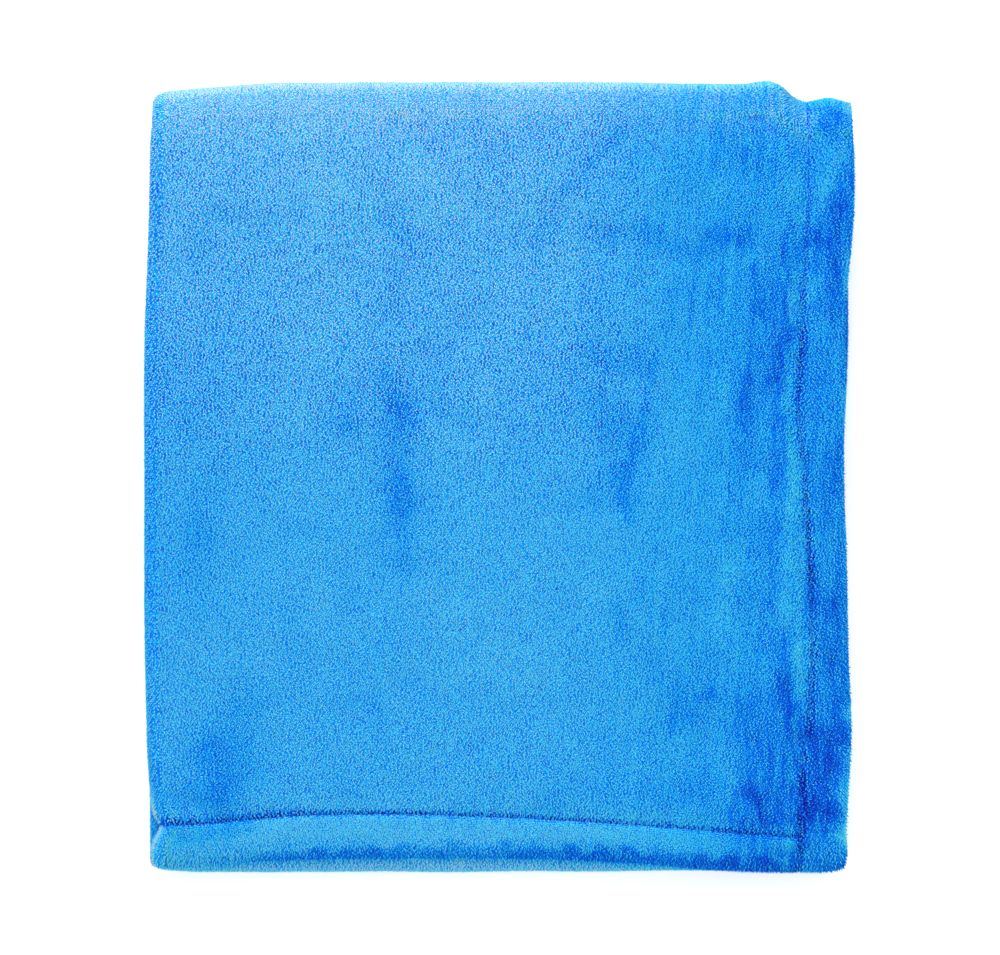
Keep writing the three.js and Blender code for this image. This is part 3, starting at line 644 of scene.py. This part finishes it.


# From 0, light, to 1, deep: how the pile lies, with painted shade and painted light added
def napAndShadingAt(place):
    x, y, z = place[..., 0], place[..., 1], place[..., 2]
    wx = x + napAndShading['warp'] * wander(x, y, 14, 11) + napAndShading['fineWarp'] * wander(x, y, 4, 17)
    wy = y + 2 * napAndShading['warp'] * wander(x, y, 18, 12) + 2 * napAndShading['fineWarp'] * wander(x, y, 6, 18)
    brushedHere, stretched = smoothstep(x, 30, 120), y * napAndShading['brushStretch']
    strokes = np.zeros(np.shape(x))
    for *stroke, strength in napStrokes:
        strokes = strokes + strength * strokeShare(wx, wy, stroke)
    strokes = np.where(strokes > 0, napAndShading['mostDeeper'] * (1 - np.exp(-strokes / napAndShading['mostDeeper'])), strokes)
    uneven = napAndShading['ragged'] * wander(x, y, napAndShading['raggedLength'], 19) * (1 - brushedHere)
    uneven = uneven + napAndShading['raggedRight'] * wander(x, stretched, napAndShading['raggedLength'] * 0.7, 20) * brushedHere
    deep = napAndShading['even'] + napAndShading['rightDeeper'] * smoothstep(wx, 50, 140) + strokes * (1 + uneven)
    deep = deep + napAndShading['hemDeeper'] * smoothstep(wx, 160, 170)
    # Painted sheen: the far fold lighter where it curves down towards the light
    farFold = smoothstep(y, 182, 216) * smoothstep(z, 10, 26)
    deep = deep - napAndShading['farFoldSheen'] * farFold * (1 - 0.5 * smoothstep(x, 145, 160))
    # Painted light: the field lighter towards the far left, where the light falls
    deep = deep - napAndShading['farFieldPaintedLight'] * smoothstep(wy, 40, 150) * (1 - smoothstep(wx, 20, 80))
    onTop, fromNear = onTopAt(z), y - reachAt(x)['edge']
    # Painted shade in the grooves of the seams, with a ragged edge
    deep = deep + napAndShading['seamShade'] * inSeamAt(place) * (1 + napAndShading['seamRagged'] * wander(x, y, 3, 26))
    # The near hem's edge rolls down, away from the light: darker there, partly painted shade and partly the
    # pile's lie
    rollEdge = fromNear + 2.2 * wander(x, y, 12, 15) + 3 * (1 - smoothstep(x, -150, -60))
    rolled = (1 - smoothstep(rollEdge, 3, 11)) * smoothstep(x, -172, -120)
    rolled = rolled * (1 - 0.6 * smoothstep(x, 158, 166))
    deep = deep + napAndShading['nearRollNapAndShade'] * rolled * onTop
    deep = deep - napAndShading['nearHemLighter'] * onNearHemAt(place)
    # Painted sheen: the strip below the near edge, seen edge-on, lighter
    deep = deep - napAndShading['stripSheen'] * (1 - smoothstep(fromNear, -2, 2)) * (1 - onTop) * smoothstep(z, 5, 13)
    # Painted highlight along the turned edge at the near left corner
    deep = deep - napAndShading['cornerRimHighlight'] * cornerRimAt(place)
    deep = deep + napAndShading['mottle'] * wander(x, y, napAndShading['mottleLength'], 13)
    brushed = napAndShading['brushed'] * wander(x, stretched, napAndShading['brushLength'], 14)
    brushed = brushed + napAndShading['finelyBrushed'] * wander(x, stretched, napAndShading['fineBrushLength'], 24, 24)
    return deep + brushed * (0.2 + 0.8 * brushedHere)


# Painted sheen on the pile, where its tips catch more light: most over the far fold, none towards the right
# hem
def paintedSheenAt(place):
    y, z = place[..., 1], place[..., 2]
    x = place[..., 0] + 6 * wander(place[..., 0], y, 30, 25)
    share = paintedSheen['even'] + paintedSheen['farField'] * smoothstep(y, 0, 120) + paintedSheen['far'] * smoothstep(y, 140, 195)
    share = share * (1 - paintedSheen['rightLess'] * smoothstep(x, 0, 140) * (1 - smoothstep(y, 175, 205)))
    share = (share + paintedSheen['fold'] * smoothstep(y, 185, 216)) * smoothstep(z, 16, 34)
    strip = (1 - smoothstep(y - reachAt(x)['edge'], -2, 2)) * smoothstep(z, 8, 16) * (1 - onTopAt(z))
    return share + paintedSheen['strip'] * strip + paintedSheen['cornerRim'] * cornerRimAt(place)


def newObject(name, vertices, faces, material):
    mesh = bpy.data.meshes.new(name)
    mesh.vertices.add(len(vertices))
    mesh.vertices.foreach_set('co', (vertices * mm).astype(np.float32).ravel())
    sides = faces.shape[1]
    mesh.loops.add(faces.size)
    mesh.loops.foreach_set('vertex_index', faces.astype(np.int32).ravel())
    mesh.polygons.add(len(faces))
    mesh.polygons.foreach_set('loop_start', np.arange(0, faces.size, sides, dtype=np.int32))
    mesh.polygons.foreach_set('use_smooth', np.ones(len(faces), dtype=bool))
    mesh.update(calc_edges=True)
    mesh.validate()
    mesh.materials.append(material)
    piece = bpy.data.objects.new(name, mesh)
    bpy.context.scene.collection.objects.link(piece)
    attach(piece, 'root')
    return piece


def setAttribute(piece, name, values):
    layer = piece.data.attributes.new(name, 'FLOAT', 'POINT')
    layer.data.foreach_set('value', values.astype(np.float32).ravel())


def setMap(piece, cornerPlaces):
    layer = piece.data.uv_layers.new(name='OFBake')
    layer.uv.foreach_set('vector', cornerPlaces.astype(np.float32).ravel())


# Materials: the fleece's colours by how deep its nap and the painted shade and light look, and its grain
fleece = {
    'colours': {
        'Light': (0.13, 0.77, 1.0), 'Middle': (0.04, 0.67, 0.95), 'Rich': (0.004, 0.34, 1.0),
        'Deep': (0.004, 0.115, 0.92), 'Darkest': (0.012, 0.022, 0.44), 'PaintedSheen': (0.61, 0.73, 0.95),
    },
    'steps': {'Light': 0, 'Middle': 0.45, 'Rich': 0.72, 'Deep': 1, 'Darkest': 1.35},
    'roughness': 0.95,
    'grainDetail': 3.0, 'grainRoughness': 0.62, 'grainSpread': 3.0,
    # painted shade: the deep places of the grain darken every channel
    'shadeFrom': -0.2, 'shadeTo': 0.5, 'lit': 1, 'shaded': 0.7,  # deep places of the grain are darker too
}
clothGrain = {'contrast': 0.34, 'size': 2.0, 'height': 0.5}
pileGrain = {'contrast': 0.12, 'size': 0.8, 'height': 0.1}


def linkNodes(tree, pairs):
    for output, target in pairs:
        tree.links.new(output, target)


def addMath(nodes, operation, first=None, second=None):
    node = nodes.new('ShaderNodeMath')
    node.operation = operation
    for number, amount in enumerate((first, second)):
        if amount is not None:
            node.inputs[number].default_value = amount
    return node


def addRange(nodes, fromMin, fromMax, toMin=0, toMax=1):
    node = nodes.new('ShaderNodeMapRange')
    for name, amount in (('From Min', fromMin), ('From Max', fromMax), ('To Min', toMin), ('To Max', toMax)):
        node.inputs[name].default_value = amount
    return node


def addMix(nodes):
    node = nodes.new('ShaderNodeMix')
    node.data_type = 'RGBA'
    return node


# Shared by the cloth and its pile: nap with painted shade and light, painted sheen and grain in, colour and
# relief out
def makePileGroup():
    group = bpy.data.node_groups.new('fleecePileColour', 'ShaderNodeTree')
    amounts = {'NapAndShading': 0.4, 'Tone': 0.0, 'PaintedSheenShare': 0.0, 'Grain Size': 0.002, 'Grain Contrast': 0.3}
    for name, start in amounts.items():
        socket = group.interface.new_socket(name, in_out='INPUT', socket_type='NodeSocketFloat')
        socket.default_value = start
    for name in fleece['colours']:
        socket = group.interface.new_socket(name, in_out='INPUT', socket_type='NodeSocketColor')
        socket.default_value = (1, 1, 1, 1)
    group.interface.new_socket('Color', in_out='OUTPUT', socket_type='NodeSocketColor')
    group.interface.new_socket('Relief', in_out='OUTPUT', socket_type='NodeSocketFloat')
    nodes = group.nodes
    inside, outside = nodes.new('NodeGroupInput'), nodes.new('NodeGroupOutput')

    # The grain, centred on nothing and added to the lock's own tone
    place = nodes.new('ShaderNodeTexCoord')
    perGrain = addMath(nodes, 'DIVIDE', first=1.0)
    grain = nodes.new('ShaderNodeTexNoise')
    grain.inputs['Detail'].default_value = fleece['grainDetail']
    grain.inputs['Roughness'].default_value = fleece['grainRoughness']
    centred = addMath(nodes, 'SUBTRACT', second=0.5)
    widened = addMath(nodes, 'MULTIPLY', second=fleece['grainSpread'])
    spread = addMath(nodes, 'MULTIPLY')
    grained, depth = addMath(nodes, 'ADD'), addMath(nodes, 'ADD')
    linkNodes(group, [
        (inside.outputs['Grain Size'], perGrain.inputs[1]),
        (place.outputs['Object'], grain.inputs['Vector']), (perGrain.outputs[0], grain.inputs['Scale']),
        (grain.outputs['Fac'], centred.inputs[0]), (centred.outputs[0], widened.inputs[0]),
        (widened.outputs[0], spread.inputs[0]), (inside.outputs['Grain Contrast'], spread.inputs[1]),
        (inside.outputs['Tone'], grained.inputs[0]), (spread.outputs[0], grained.inputs[1]),
        (grained.outputs[0], depth.inputs[0]), (inside.outputs['NapAndShading'], depth.inputs[1]),
        (grain.outputs['Fac'], outside.inputs['Relief']),
    ])

    # From each colour into the next deeper one, the painted sheen lying over the lightest
    names = list(fleece['steps'])
    colour = inside.outputs['Light']
    for name, deeper in zip(names, names[1:]):
        step, mix = addRange(nodes, fleece['steps'][name], fleece['steps'][deeper]), addMix(nodes)
        linkNodes(group, [
            (depth.outputs[0], step.inputs['Value']), (step.outputs['Result'], mix.inputs['Factor']),
            (colour, mix.inputs['A']), (inside.outputs[deeper], mix.inputs['B']),
        ])
        colour = mix.outputs['Result']
        if name == 'Light':
            atTips, sheenHere = addMath(nodes, 'SUBTRACT', first=1.0), addMath(nodes, 'MULTIPLY')
            sheened = addMix(nodes)
            linkNodes(group, [
                (step.outputs['Result'], atTips.inputs[1]),
                (atTips.outputs[0], sheenHere.inputs[0]), (inside.outputs['PaintedSheenShare'], sheenHere.inputs[1]),
                (sheenHere.outputs[0], sheened.inputs['Factor']),
                (colour, sheened.inputs['A']), (inside.outputs['PaintedSheen'], sheened.inputs['B']),
            ])
            colour = sheened.outputs['Result']
    # Painted shade: the colour darkened where the grain is deep
    shade = addRange(nodes, fleece['shadeFrom'], fleece['shadeTo'], fleece['lit'], fleece['shaded'])
    shaded = nodes.new('ShaderNodeVectorMath')
    shaded.operation = 'SCALE'
    linkNodes(group, [
        (grained.outputs[0], shade.inputs['Value']), (shade.outputs['Result'], shaded.inputs['Scale']),
        (colour, shaded.inputs[0]), (shaded.outputs['Vector'], outside.inputs['Color']),
    ])
    return group


def makeFleece(name, group, grain):
    material = bpy.data.materials.new(name)
    material.use_nodes = True
    nodes = material.node_tree.nodes
    shader = nodes['Principled BSDF']
    shader.inputs['Roughness'].default_value = fleece['roughness']
    shader.inputs['Specular IOR Level'].default_value = 0
    colour = nodes.new('ShaderNodeGroup')
    colour.node_tree = group
    colour.inputs['Grain Size'].default_value = grain['size'] * mm
    colour.inputs['Grain Contrast'].default_value = grain['contrast']
    for socket, value in fleece['colours'].items():
        colour.inputs[socket].default_value = (*value, 1)
    for attribute, socket in (('napAndShading', 'NapAndShading'), ('tone', 'Tone'), ('paintedSheen', 'PaintedSheenShare')):
        read = nodes.new('ShaderNodeAttribute')
        read.attribute_name = attribute
        material.node_tree.links.new(read.outputs['Fac'], colour.inputs[socket])
    bump = nodes.new('ShaderNodeBump')
    bump.inputs['Distance'].default_value = grain['height'] * mm
    bump.inputs['Strength'].default_value = 1.0
    linkNodes(material.node_tree, [
        (colour.outputs['Color'], shader.inputs['Base Color']),
        (colour.outputs['Relief'], bump.inputs['Height']), (bump.outputs['Normal'], shader.inputs['Normal']),
    ])
    return material


pileGroup = makePileGroup()
clothMaterial = makeFleece('fleeceCloth', pileGroup, clothGrain)
pileMaterial = makeFleece('fleecePile', pileGroup, pileGrain)


def quads(index):
    return np.stack([index[:-1, :-1], index[:-1, 1:], index[1:, 1:], index[1:, :-1]], -1).reshape(-1, 4)


# How far each line of the mesh lies from the first, as a share
def runShares(points, axis):
    steps = np.linalg.norm(np.diff(points, axis=axis), axis=-1).mean(1 - axis)
    run = np.concatenate([[0], np.cumsum(steps)])
    return run / run[-1], run[-1]


# The cloth: two skins on the fold map that share their rim, side by side on the piece's own map
def makeCloth():
    across, along = np.meshgrid(acrossPlaces, alongPlaces, indexing='ij')
    outer, _ = skinAt(across, along, 1)
    inner, _ = skinAt(across, along, -1)
    rows, columns = across.shape
    onRim = np.zeros((rows, columns), bool)
    onRim[[0, -1], :] = onRim[:, [0, -1]] = True
    outerIndex = np.arange(rows * columns).reshape(rows, columns)
    innerIndex = outerIndex.copy()
    innerIndex[~onRim] = rows * columns + np.arange((~onRim).sum())
    vertices = np.concatenate([outer.reshape(-1, 3), inner[~onRim]])
    faces = np.concatenate([quads(outerIndex), quads(innerIndex)[:, ::-1]])

    acrossShares, width = runShares(outer, 0)
    alongShares, length = runShares(outer, 1)
    u = (acrossShares * 0.49)[:, None] + 0 * across
    v = (alongShares * 0.99)[None, :] + 0.005 + 0 * across
    flatPlaces = np.stack([u, v], -1).reshape(-1, 2)
    outerPlaces = flatPlaces[quads(outerIndex)] + (0.005, 0)
    innerPlaces = flatPlaces[quads(outerIndex)[:, ::-1]] + (0.505, 0)
    print('cloth made:', len(faces) * 2, 'triangles, runs', round(width), 'by', round(length), 'mm')
    return vertices, faces, np.concatenate([outerPlaces, innerPlaces])


vertices, faces, cornerPlaces = makeCloth()
shift = np.array((-0.08, -3.0, 0))  # from the tables to the part's origin
blanketPiece = newObject('fleeceThrow', vertices + shift, faces, clothMaterial)
setAttribute(blanketPiece, 'napAndShading', napAndShadingAt(vertices))
# The cloth between the locks takes a deep tone: painted shade between the locks
setAttribute(blanketPiece, 'tone', np.full(len(vertices), 0.5))
setAttribute(blanketPiece, 'paintedSheen', paintedSheenAt(vertices))
setMap(blanketPiece, cornerPlaces)
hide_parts('blanket')

# Short pile: leaning locks of three faces, rooted in the cloth's skins wherever they show
pile = {
    'spacing': 1.04, 'sideSpacing': 1.3, 'rowShare': 0.87, 'jitter': 0.22,
    'rimReach': 3.2,  # onto the inner side of the cloth
    'length': 1.25, 'lengthSpread': 0.16, 'width': 0.58, 'sunk': 0.2,
    'flatLean': 50, 'uprightLean': 26, 'leanSpread': 6,
    'turnSpread': 28, 'wanderTurn': 16, 'wanderLength': 26,
    'hang': 0.9,  # how far it turns down on steep faces
    # painted shade darkens the roots of the locks and painted light brightens their tips; lockTone differs at
    # random
    'rootShade': 0.22, 'tipLight': -0.05, 'lockTone': 0.28,
    'farGrain': 0.85, 'sideGrain': 0.6, 'rightGrain': 0.2, 'hemSmoother': 0.6, 'seamShadeSpecks': 0.9,
    'clumpLength': 2.4, 'clumpHeight': 0.05,
}


# How far points on a line lie from its start
def runOf(points):
    return np.concatenate([[0], np.cumsum(np.linalg.norm(np.diff(points, axis=0), axis=-1))])


# Even, jittered places over a part of one skin, each with a tone from 0 to 1 unlike its neighbours'
def placesOver(acrossFrom, acrossTo, alongFrom, alongTo, spacing, seed):
    rng = np.random.default_rng(seed)
    samples = 600
    acrossRun = np.linspace(acrossFrom, acrossTo, samples)
    alongRun = np.linspace(alongFrom, alongTo, samples)
    acrossLength = runOf(clothAt(acrossRun, np.full(samples, (alongFrom + alongTo) / 2))[0])
    alongLength = runOf(clothAt(np.full(samples, (acrossFrom + acrossTo) / 2), alongRun)[0])
    columns = max(1, round(acrossLength[-1] / spacing))
    rows = max(1, round(alongLength[-1] / (spacing * pile['rowShare'])))
    i, j = np.meshgrid(np.arange(columns), np.arange(rows), indexing='ij')
    nearI = i + 0.25 + 0.5 * (j % 2) + rng.uniform(-pile['jitter'], pile['jitter'], i.shape)
    nearJ = j + 0.5 + rng.uniform(-pile['jitter'], pile['jitter'], j.shape)
    atAcross = np.clip(nearI.ravel() / columns, 0, 1) * acrossLength[-1]
    atAlong = np.clip(nearJ.ravel() / rows, 0, 1) * alongLength[-1]
    tone = rng.uniform(size=i.shape)
    for _ in range(2):
        tone = tone - sum(np.roll(tone, step, axis) for step in (-1, 1) for axis in (0, 1)) / 4
    evenTone = tone.ravel().argsort().argsort() / tone.size
    return np.interp(atAcross, acrossLength, acrossRun), np.interp(atAlong, alongLength, alongRun), evenTone


# Roots, normals and even tones of the locks on all patches
def rootsOver(patches, seed):
    roots, normals, evenTones = [], [], []
    for number, (acrossFrom, acrossTo, alongFrom, alongTo, skin, spacing) in enumerate(patches):
        over = (acrossFrom, acrossTo, alongFrom, alongTo)
        across, along, evenTone = placesOver(*over, spacing, seed * 100 + number)
        root, normal = skinAt(across, along, skin)
        roots.append(root)
        normals.append(normal)
        evenTones.append(evenTone)
    return np.concatenate(roots), np.concatenate(normals), np.concatenate(evenTones)


# The three feet and the tip of each lock
def lockPoints(root, normal, deep, rng):
    count = len(root)
    wandering = math.radians(pile['wanderTurn']) * wander(root[:, 0], root[:, 1], pile['wanderLength'], 21)
    turn = math.radians(-90) + wandering
    turn = turn + math.radians(pile['turnSpread']) * rng.normal(size=count)
    ahead = np.stack([np.cos(turn), np.sin(turn), np.full(count, -pile['hang'])], -1)
    ahead = ahead - normal * (ahead * normal).sum(-1, keepdims=True)
    ahead = ahead / np.maximum(np.linalg.norm(ahead, axis=-1, keepdims=True), 1e-6)
    beside = np.cross(normal, ahead)
    lean = lerp(pile['flatLean'], pile['uprightLean'], smoothstep(deep, 0.25, 0.85))
    lean = np.radians(lean + pile['leanSpread'] * rng.normal(size=count))[:, None]
    clump = wander(root[:, 0], root[:, 1] + root[:, 2], pile['clumpLength'], 22, 30)
    clump = clump * (1 - 0.6 * smoothstep(root[:, 1], 190, 208))
    length = 1 + pile['lengthSpread'] * rng.uniform(-1, 1, count) - pile['clumpHeight'] * clump
    length = pile['length'] * length[:, None]
    foot = root - normal * pile['sunk']
    twist = rng.uniform(-0.5, 0.5, count)[:, None]
    corners = []
    for k in range(3):
        angle = math.pi + 2 * math.pi * k / 3 + twist
        corners.append(foot + pile['width'] * (np.cos(angle) * ahead + np.sin(angle) * beside))
    tip = foot + (length + pile['sunk']) * (np.cos(lean) * normal + np.sin(lean) * ahead)
    points = np.stack(corners + [tip], 1)
    points[..., 2] = np.maximum(points[..., 2], 0.02)  # clear of the floor
    return points


# How much deeper each lock is than its ground: few dark ones where the ground is light, few light ones where
# it is deep, and dark specks of painted shade in the seams
def lockTones(root, normal, deep, evenTone):
    x, y = root[:, 0], root[:, 1]
    grain = 1 + pile['farGrain'] * smoothstep(y, -40, 60) * (1 - smoothstep(x, 40, 110))
    grain = grain * (1 - 0.5 * smoothstep(y, 190, 206))
    grain = grain * lerp(pile['sideGrain'], 1, smoothstep(np.abs(normal[:, 2]), 0.2, 0.8))
    grain = grain * (1 - pile['hemSmoother'] * onNearHemAt(root))
    grain = grain + pile['rightGrain'] * smoothstep(x, 100, 140)
    fewDark, fewLight = 1.7 * evenTone ** 2.5 - 0.5, 0.5 - 1.5 * (1 - evenTone) ** 2
    tone = pile['lockTone'] * grain * lerp(fewDark, fewLight, smoothstep(deep, 0.35, 0.6))
    return tone + pile['seamShadeSpecks'] * inSeamAt(root) * (1.9 * evenTone ** 3 - 0.1)


# Each lock has a cell of the map
def lockMap(count, faces):
    side = math.ceil(math.sqrt(count))
    cell = np.stack([np.arange(count) % side, np.arange(count) // side], -1)[:, None, :]
    inCell = np.array([(0.08, 0.08), (0.92, 0.08), (0.5, 0.92), (0.5, 0.36)])
    places = ((cell + inCell[None]) / side).reshape(-1, 2)
    return places[faces.ravel()]


def makeLocks(name, patches, seed):
    root, normal, evenTone = rootsOver(patches, seed)
    count, deep = len(root), napAndShadingAt(root)
    points = lockPoints(root, normal, deep, np.random.default_rng(seed))
    lockTone = lockTones(root, normal, deep, evenTone)
    # Painted shade at the roots of each lock, painted light at its tip, over the lock's own tone
    tone = np.stack([pile['rootShade'] + lockTone] * 3 + [pile['tipLight'] + lockTone], -1)
    first = 4 * np.arange(count)[:, None, None]
    faces = (first + np.array([[0, 1, 3], [1, 2, 3], [2, 0, 3]])[None]).reshape(-1, 3)
    piece = newObject(name, points.reshape(-1, 3) + shift, faces, pileMaterial)
    setAttribute(piece, 'napAndShading', np.repeat(deep, 4))
    setAttribute(piece, 'tone', tone)
    setAttribute(piece, 'paintedSheen', np.repeat(paintedSheenAt(root) * smoothstep(normal[:, 2], -0.3, 0.4), 4))
    setMap(piece, lockMap(count, faces))
    print(name, count, 'locks', len(faces), 'triangles')
    return piece


# Patches: from and to across the layers, from and to along the thirds, skin, spacing
hemWidth = 25
rim = pile['rimReach'] / hemWidth * hemShare / hemRun
wide, close = pile['sideSpacing'], pile['spacing']
foldPatches = [(0, 1, 1.5, 2, 1, wide), (0, 1, 3, 4, 1, wide)]
foldPatches += [(layer, layer + 1, third, third + 1, 1, wide) for layer in (1, 3) for third in range(5)]
hemPatches = [
    (0, rim, 0, 1, -1, wide), (7 - rim, 7, 0, 1, 1, wide), (7 - rim, 7, 0, 1, -1, wide),
    (0, rim, 1, 5, -1, wide), (0, rim, 1, 5, 1, wide),
    (7 - rim, 7, 1, 5, -1, wide), (7 - rim, 7, 1, 5, 1, wide),
    (0, 7, 0, rim, -1, wide), (1, 7, 0, rim, 1, wide),
]
pilePieces = [
    makeLocks('pileTopRight', [(0, 0.35, 0, 1.5, 1, close)], 1),
    makeLocks('pileTopMiddle', [(0.35, 0.65, 0, 1.5, 1, close)], 2),
    makeLocks('pileTopLeft', [(0.65, 1, 0, 1.5, 1, close)], 5),
    makeLocks('pileFolds', foldPatches, 3),
    makeLocks('pileHems', hemPatches, 4),
]

# Sewing thread of the hems, in the groove
thread = {
    'length': 3.0, 'pitch': 3.7, 'radius': 0.28, 'sides': 6, 'sunk': 0.05,
    'rings': (-1, -0.72, 0, 0.72, 1), 'girth': (0.1, 0.8, 1, 0.8, 0.1),
    'bow': 0.9,  # its ends dip into the cloth
    'colour': (0.03, 0.0, 0.9), 'roughness': 0.9, 'shine': 0.05,
}


def unit(vectors):
    return vectors / np.linalg.norm(vectors, axis=-1, keepdims=True)


# Middle, up and forward of every stitch along a seam
def seamLine(acrossFrom, acrossTo, alongFrom, alongTo):
    count = 1200
    across = np.linspace(acrossFrom, acrossTo, count)
    along = np.linspace(alongFrom, alongTo, count)
    place, normal = skinAt(across, along, 1)
    run = runOf(place)
    marks = np.arange(thread['pitch'] / 2, run[-1], thread['pitch'])
    pick = np.interp(marks, run, np.arange(count))
    at = np.stack([np.interp(pick, np.arange(count), place[:, k]) for k in range(3)], -1)
    up = np.stack([np.interp(pick, np.arange(count), normal[:, k]) for k in range(3)], -1)
    ahead = np.stack([np.interp(pick + 3, np.arange(count), place[:, k]) for k in range(3)], -1) - at
    return at, unit(up), unit(ahead)


# One stitch: rings of points round a thread that is thickest in its middle
def stitchPoints(middle, up, ahead):
    angle = np.arange(thread['sides']) * 2 * math.pi / thread['sides']
    middle = middle + up * (thread['radius'] - thread['sunk'])
    ring = np.cos(angle)[:, None] * np.cross(ahead, up) + np.sin(angle)[:, None] * up
    points = []
    for step, girth in zip(thread['rings'], thread['girth']):
        dip = up * thread['radius'] * thread['bow'] * step ** 2
        points.append(middle + ahead * step * thread['length'] / 2 + ring * girth * thread['radius'] - dip)
    return np.concatenate(points)


def makeThread():
    seamShare = hemShare / hemRun
    lines = [
        seamLine(seamShare, seamShare, 0.004, 3.0),
        seamLine(seamShare + 0.004, 1.9, seamShare, seamShare),
    ]
    sides, rings = thread['sides'], len(thread['rings'])
    stitches = [stitchPoints(*stitch) for line in lines for stitch in zip(*line)]
    k = np.arange(sides)
    after = (k + 1) % sides
    band = np.stack([k, after, sides + after, sides + k], -1)
    bands = (sides * np.arange(rings - 1)[:, None, None] + band).reshape(-1, 4)
    firsts = sides * rings * np.arange(len(stitches))
    return np.concatenate(stitches), (firsts[:, None, None] + bands).reshape(-1, 4)


threadMaterial = bpy.data.materials.new('hemThread')
threadMaterial.use_nodes = True
threadShader = threadMaterial.node_tree.nodes['Principled BSDF']
threadShader.inputs['Base Color'].default_value = (*thread['colour'], 1)
threadShader.inputs['Roughness'].default_value = thread['roughness']
threadShader.inputs['Specular IOR Level'].default_value = thread['shine']

threadVertices, threadFaces = makeThread()
threadPiece = newObject('hemStitches', threadVertices + shift, threadFaces, threadMaterial)
print('stitches made:', len(threadFaces) * 2, 'triangles')

# Floor, lights and camera
view = {'target': (0, 0, 42), 'elevation': 84, 'distance': 3000, 'frameWidth': 540, 'sensor': 36}
studio = {
    'softboxPlace': (-0.5, 2.0, 1.7), 'softboxSize': 1.4, 'softboxPower': 48,  # in metres and watts
    'fillPlace': (0.2, -0.4, 2.6), 'fillSize': 2.2, 'fillPower': 14.5,
    'surround': 0.88, 'floorSize': 8, 'floorTone': 0.9, 'floorRoughness': 0.9, 'floorGlow': 0.35,
}
cameraData = bpy.data.cameras.new('camera')
cameraData.sensor_width = view['sensor']
cameraData.lens = view['sensor'] * view['distance'] / view['frameWidth']
camera = bpy.data.objects.new('camera', cameraData)
bpy.context.scene.collection.objects.link(camera)
tilt = math.radians(view['elevation'])
target = (np.array(view['target']) + shift) * mm
camera.location = target + view['distance'] * mm * np.array((0, -math.cos(tilt), math.sin(tilt)))
camera.rotation_euler = (math.pi / 2 - tilt, 0, 0)
bpy.context.scene.camera = camera


# A round soft light that faces the origin
def addLight(name, place, size, power):
    data = bpy.data.lights.new(name, 'AREA')
    data.shape, data.size, data.energy = 'DISK', size, power
    light = bpy.data.objects.new(name, data)
    bpy.context.scene.collection.objects.link(light)
    light.location = place
    x, y, z = place
    light.rotation_euler = (math.atan2(math.hypot(x, y), z), 0, math.atan2(x, -y))


addLight('farSoftbox', studio['softboxPlace'], studio['softboxSize'], studio['softboxPower'])
addLight('overheadFill', studio['fillPlace'], studio['fillSize'], studio['fillPower'])
world = bpy.data.worlds.new('studio')
world.use_nodes = True
background = world.node_tree.nodes['Background']
background.inputs['Color'].default_value = (1, 1, 1, 1)
background.inputs['Strength'].default_value = studio['surround']
bpy.context.scene.world = world
bpy.context.scene.view_settings.view_transform = 'Standard'

bpy.ops.object.select_all(action='DESELECT')
bpy.ops.mesh.primitive_plane_add(size=studio['floorSize'])
floor = bpy.context.object
floor.name = 'paleFloor'
floorMaterial = bpy.data.materials.new('paleFloor')
floorMaterial.use_nodes = True
floorShader = floorMaterial.node_tree.nodes['Principled BSDF']
floorShader.inputs['Base Color'].default_value = (*[studio['floorTone']] * 3, 1)
floorShader.inputs['Roughness'].default_value = studio['floorRoughness']
floorShader.inputs['Emission Color'].default_value = (1, 1, 1, 1)
floorShader.inputs['Emission Strength'].default_value = studio['floorGlow']
floor.data.materials.append(floorMaterial)
print('stage set')
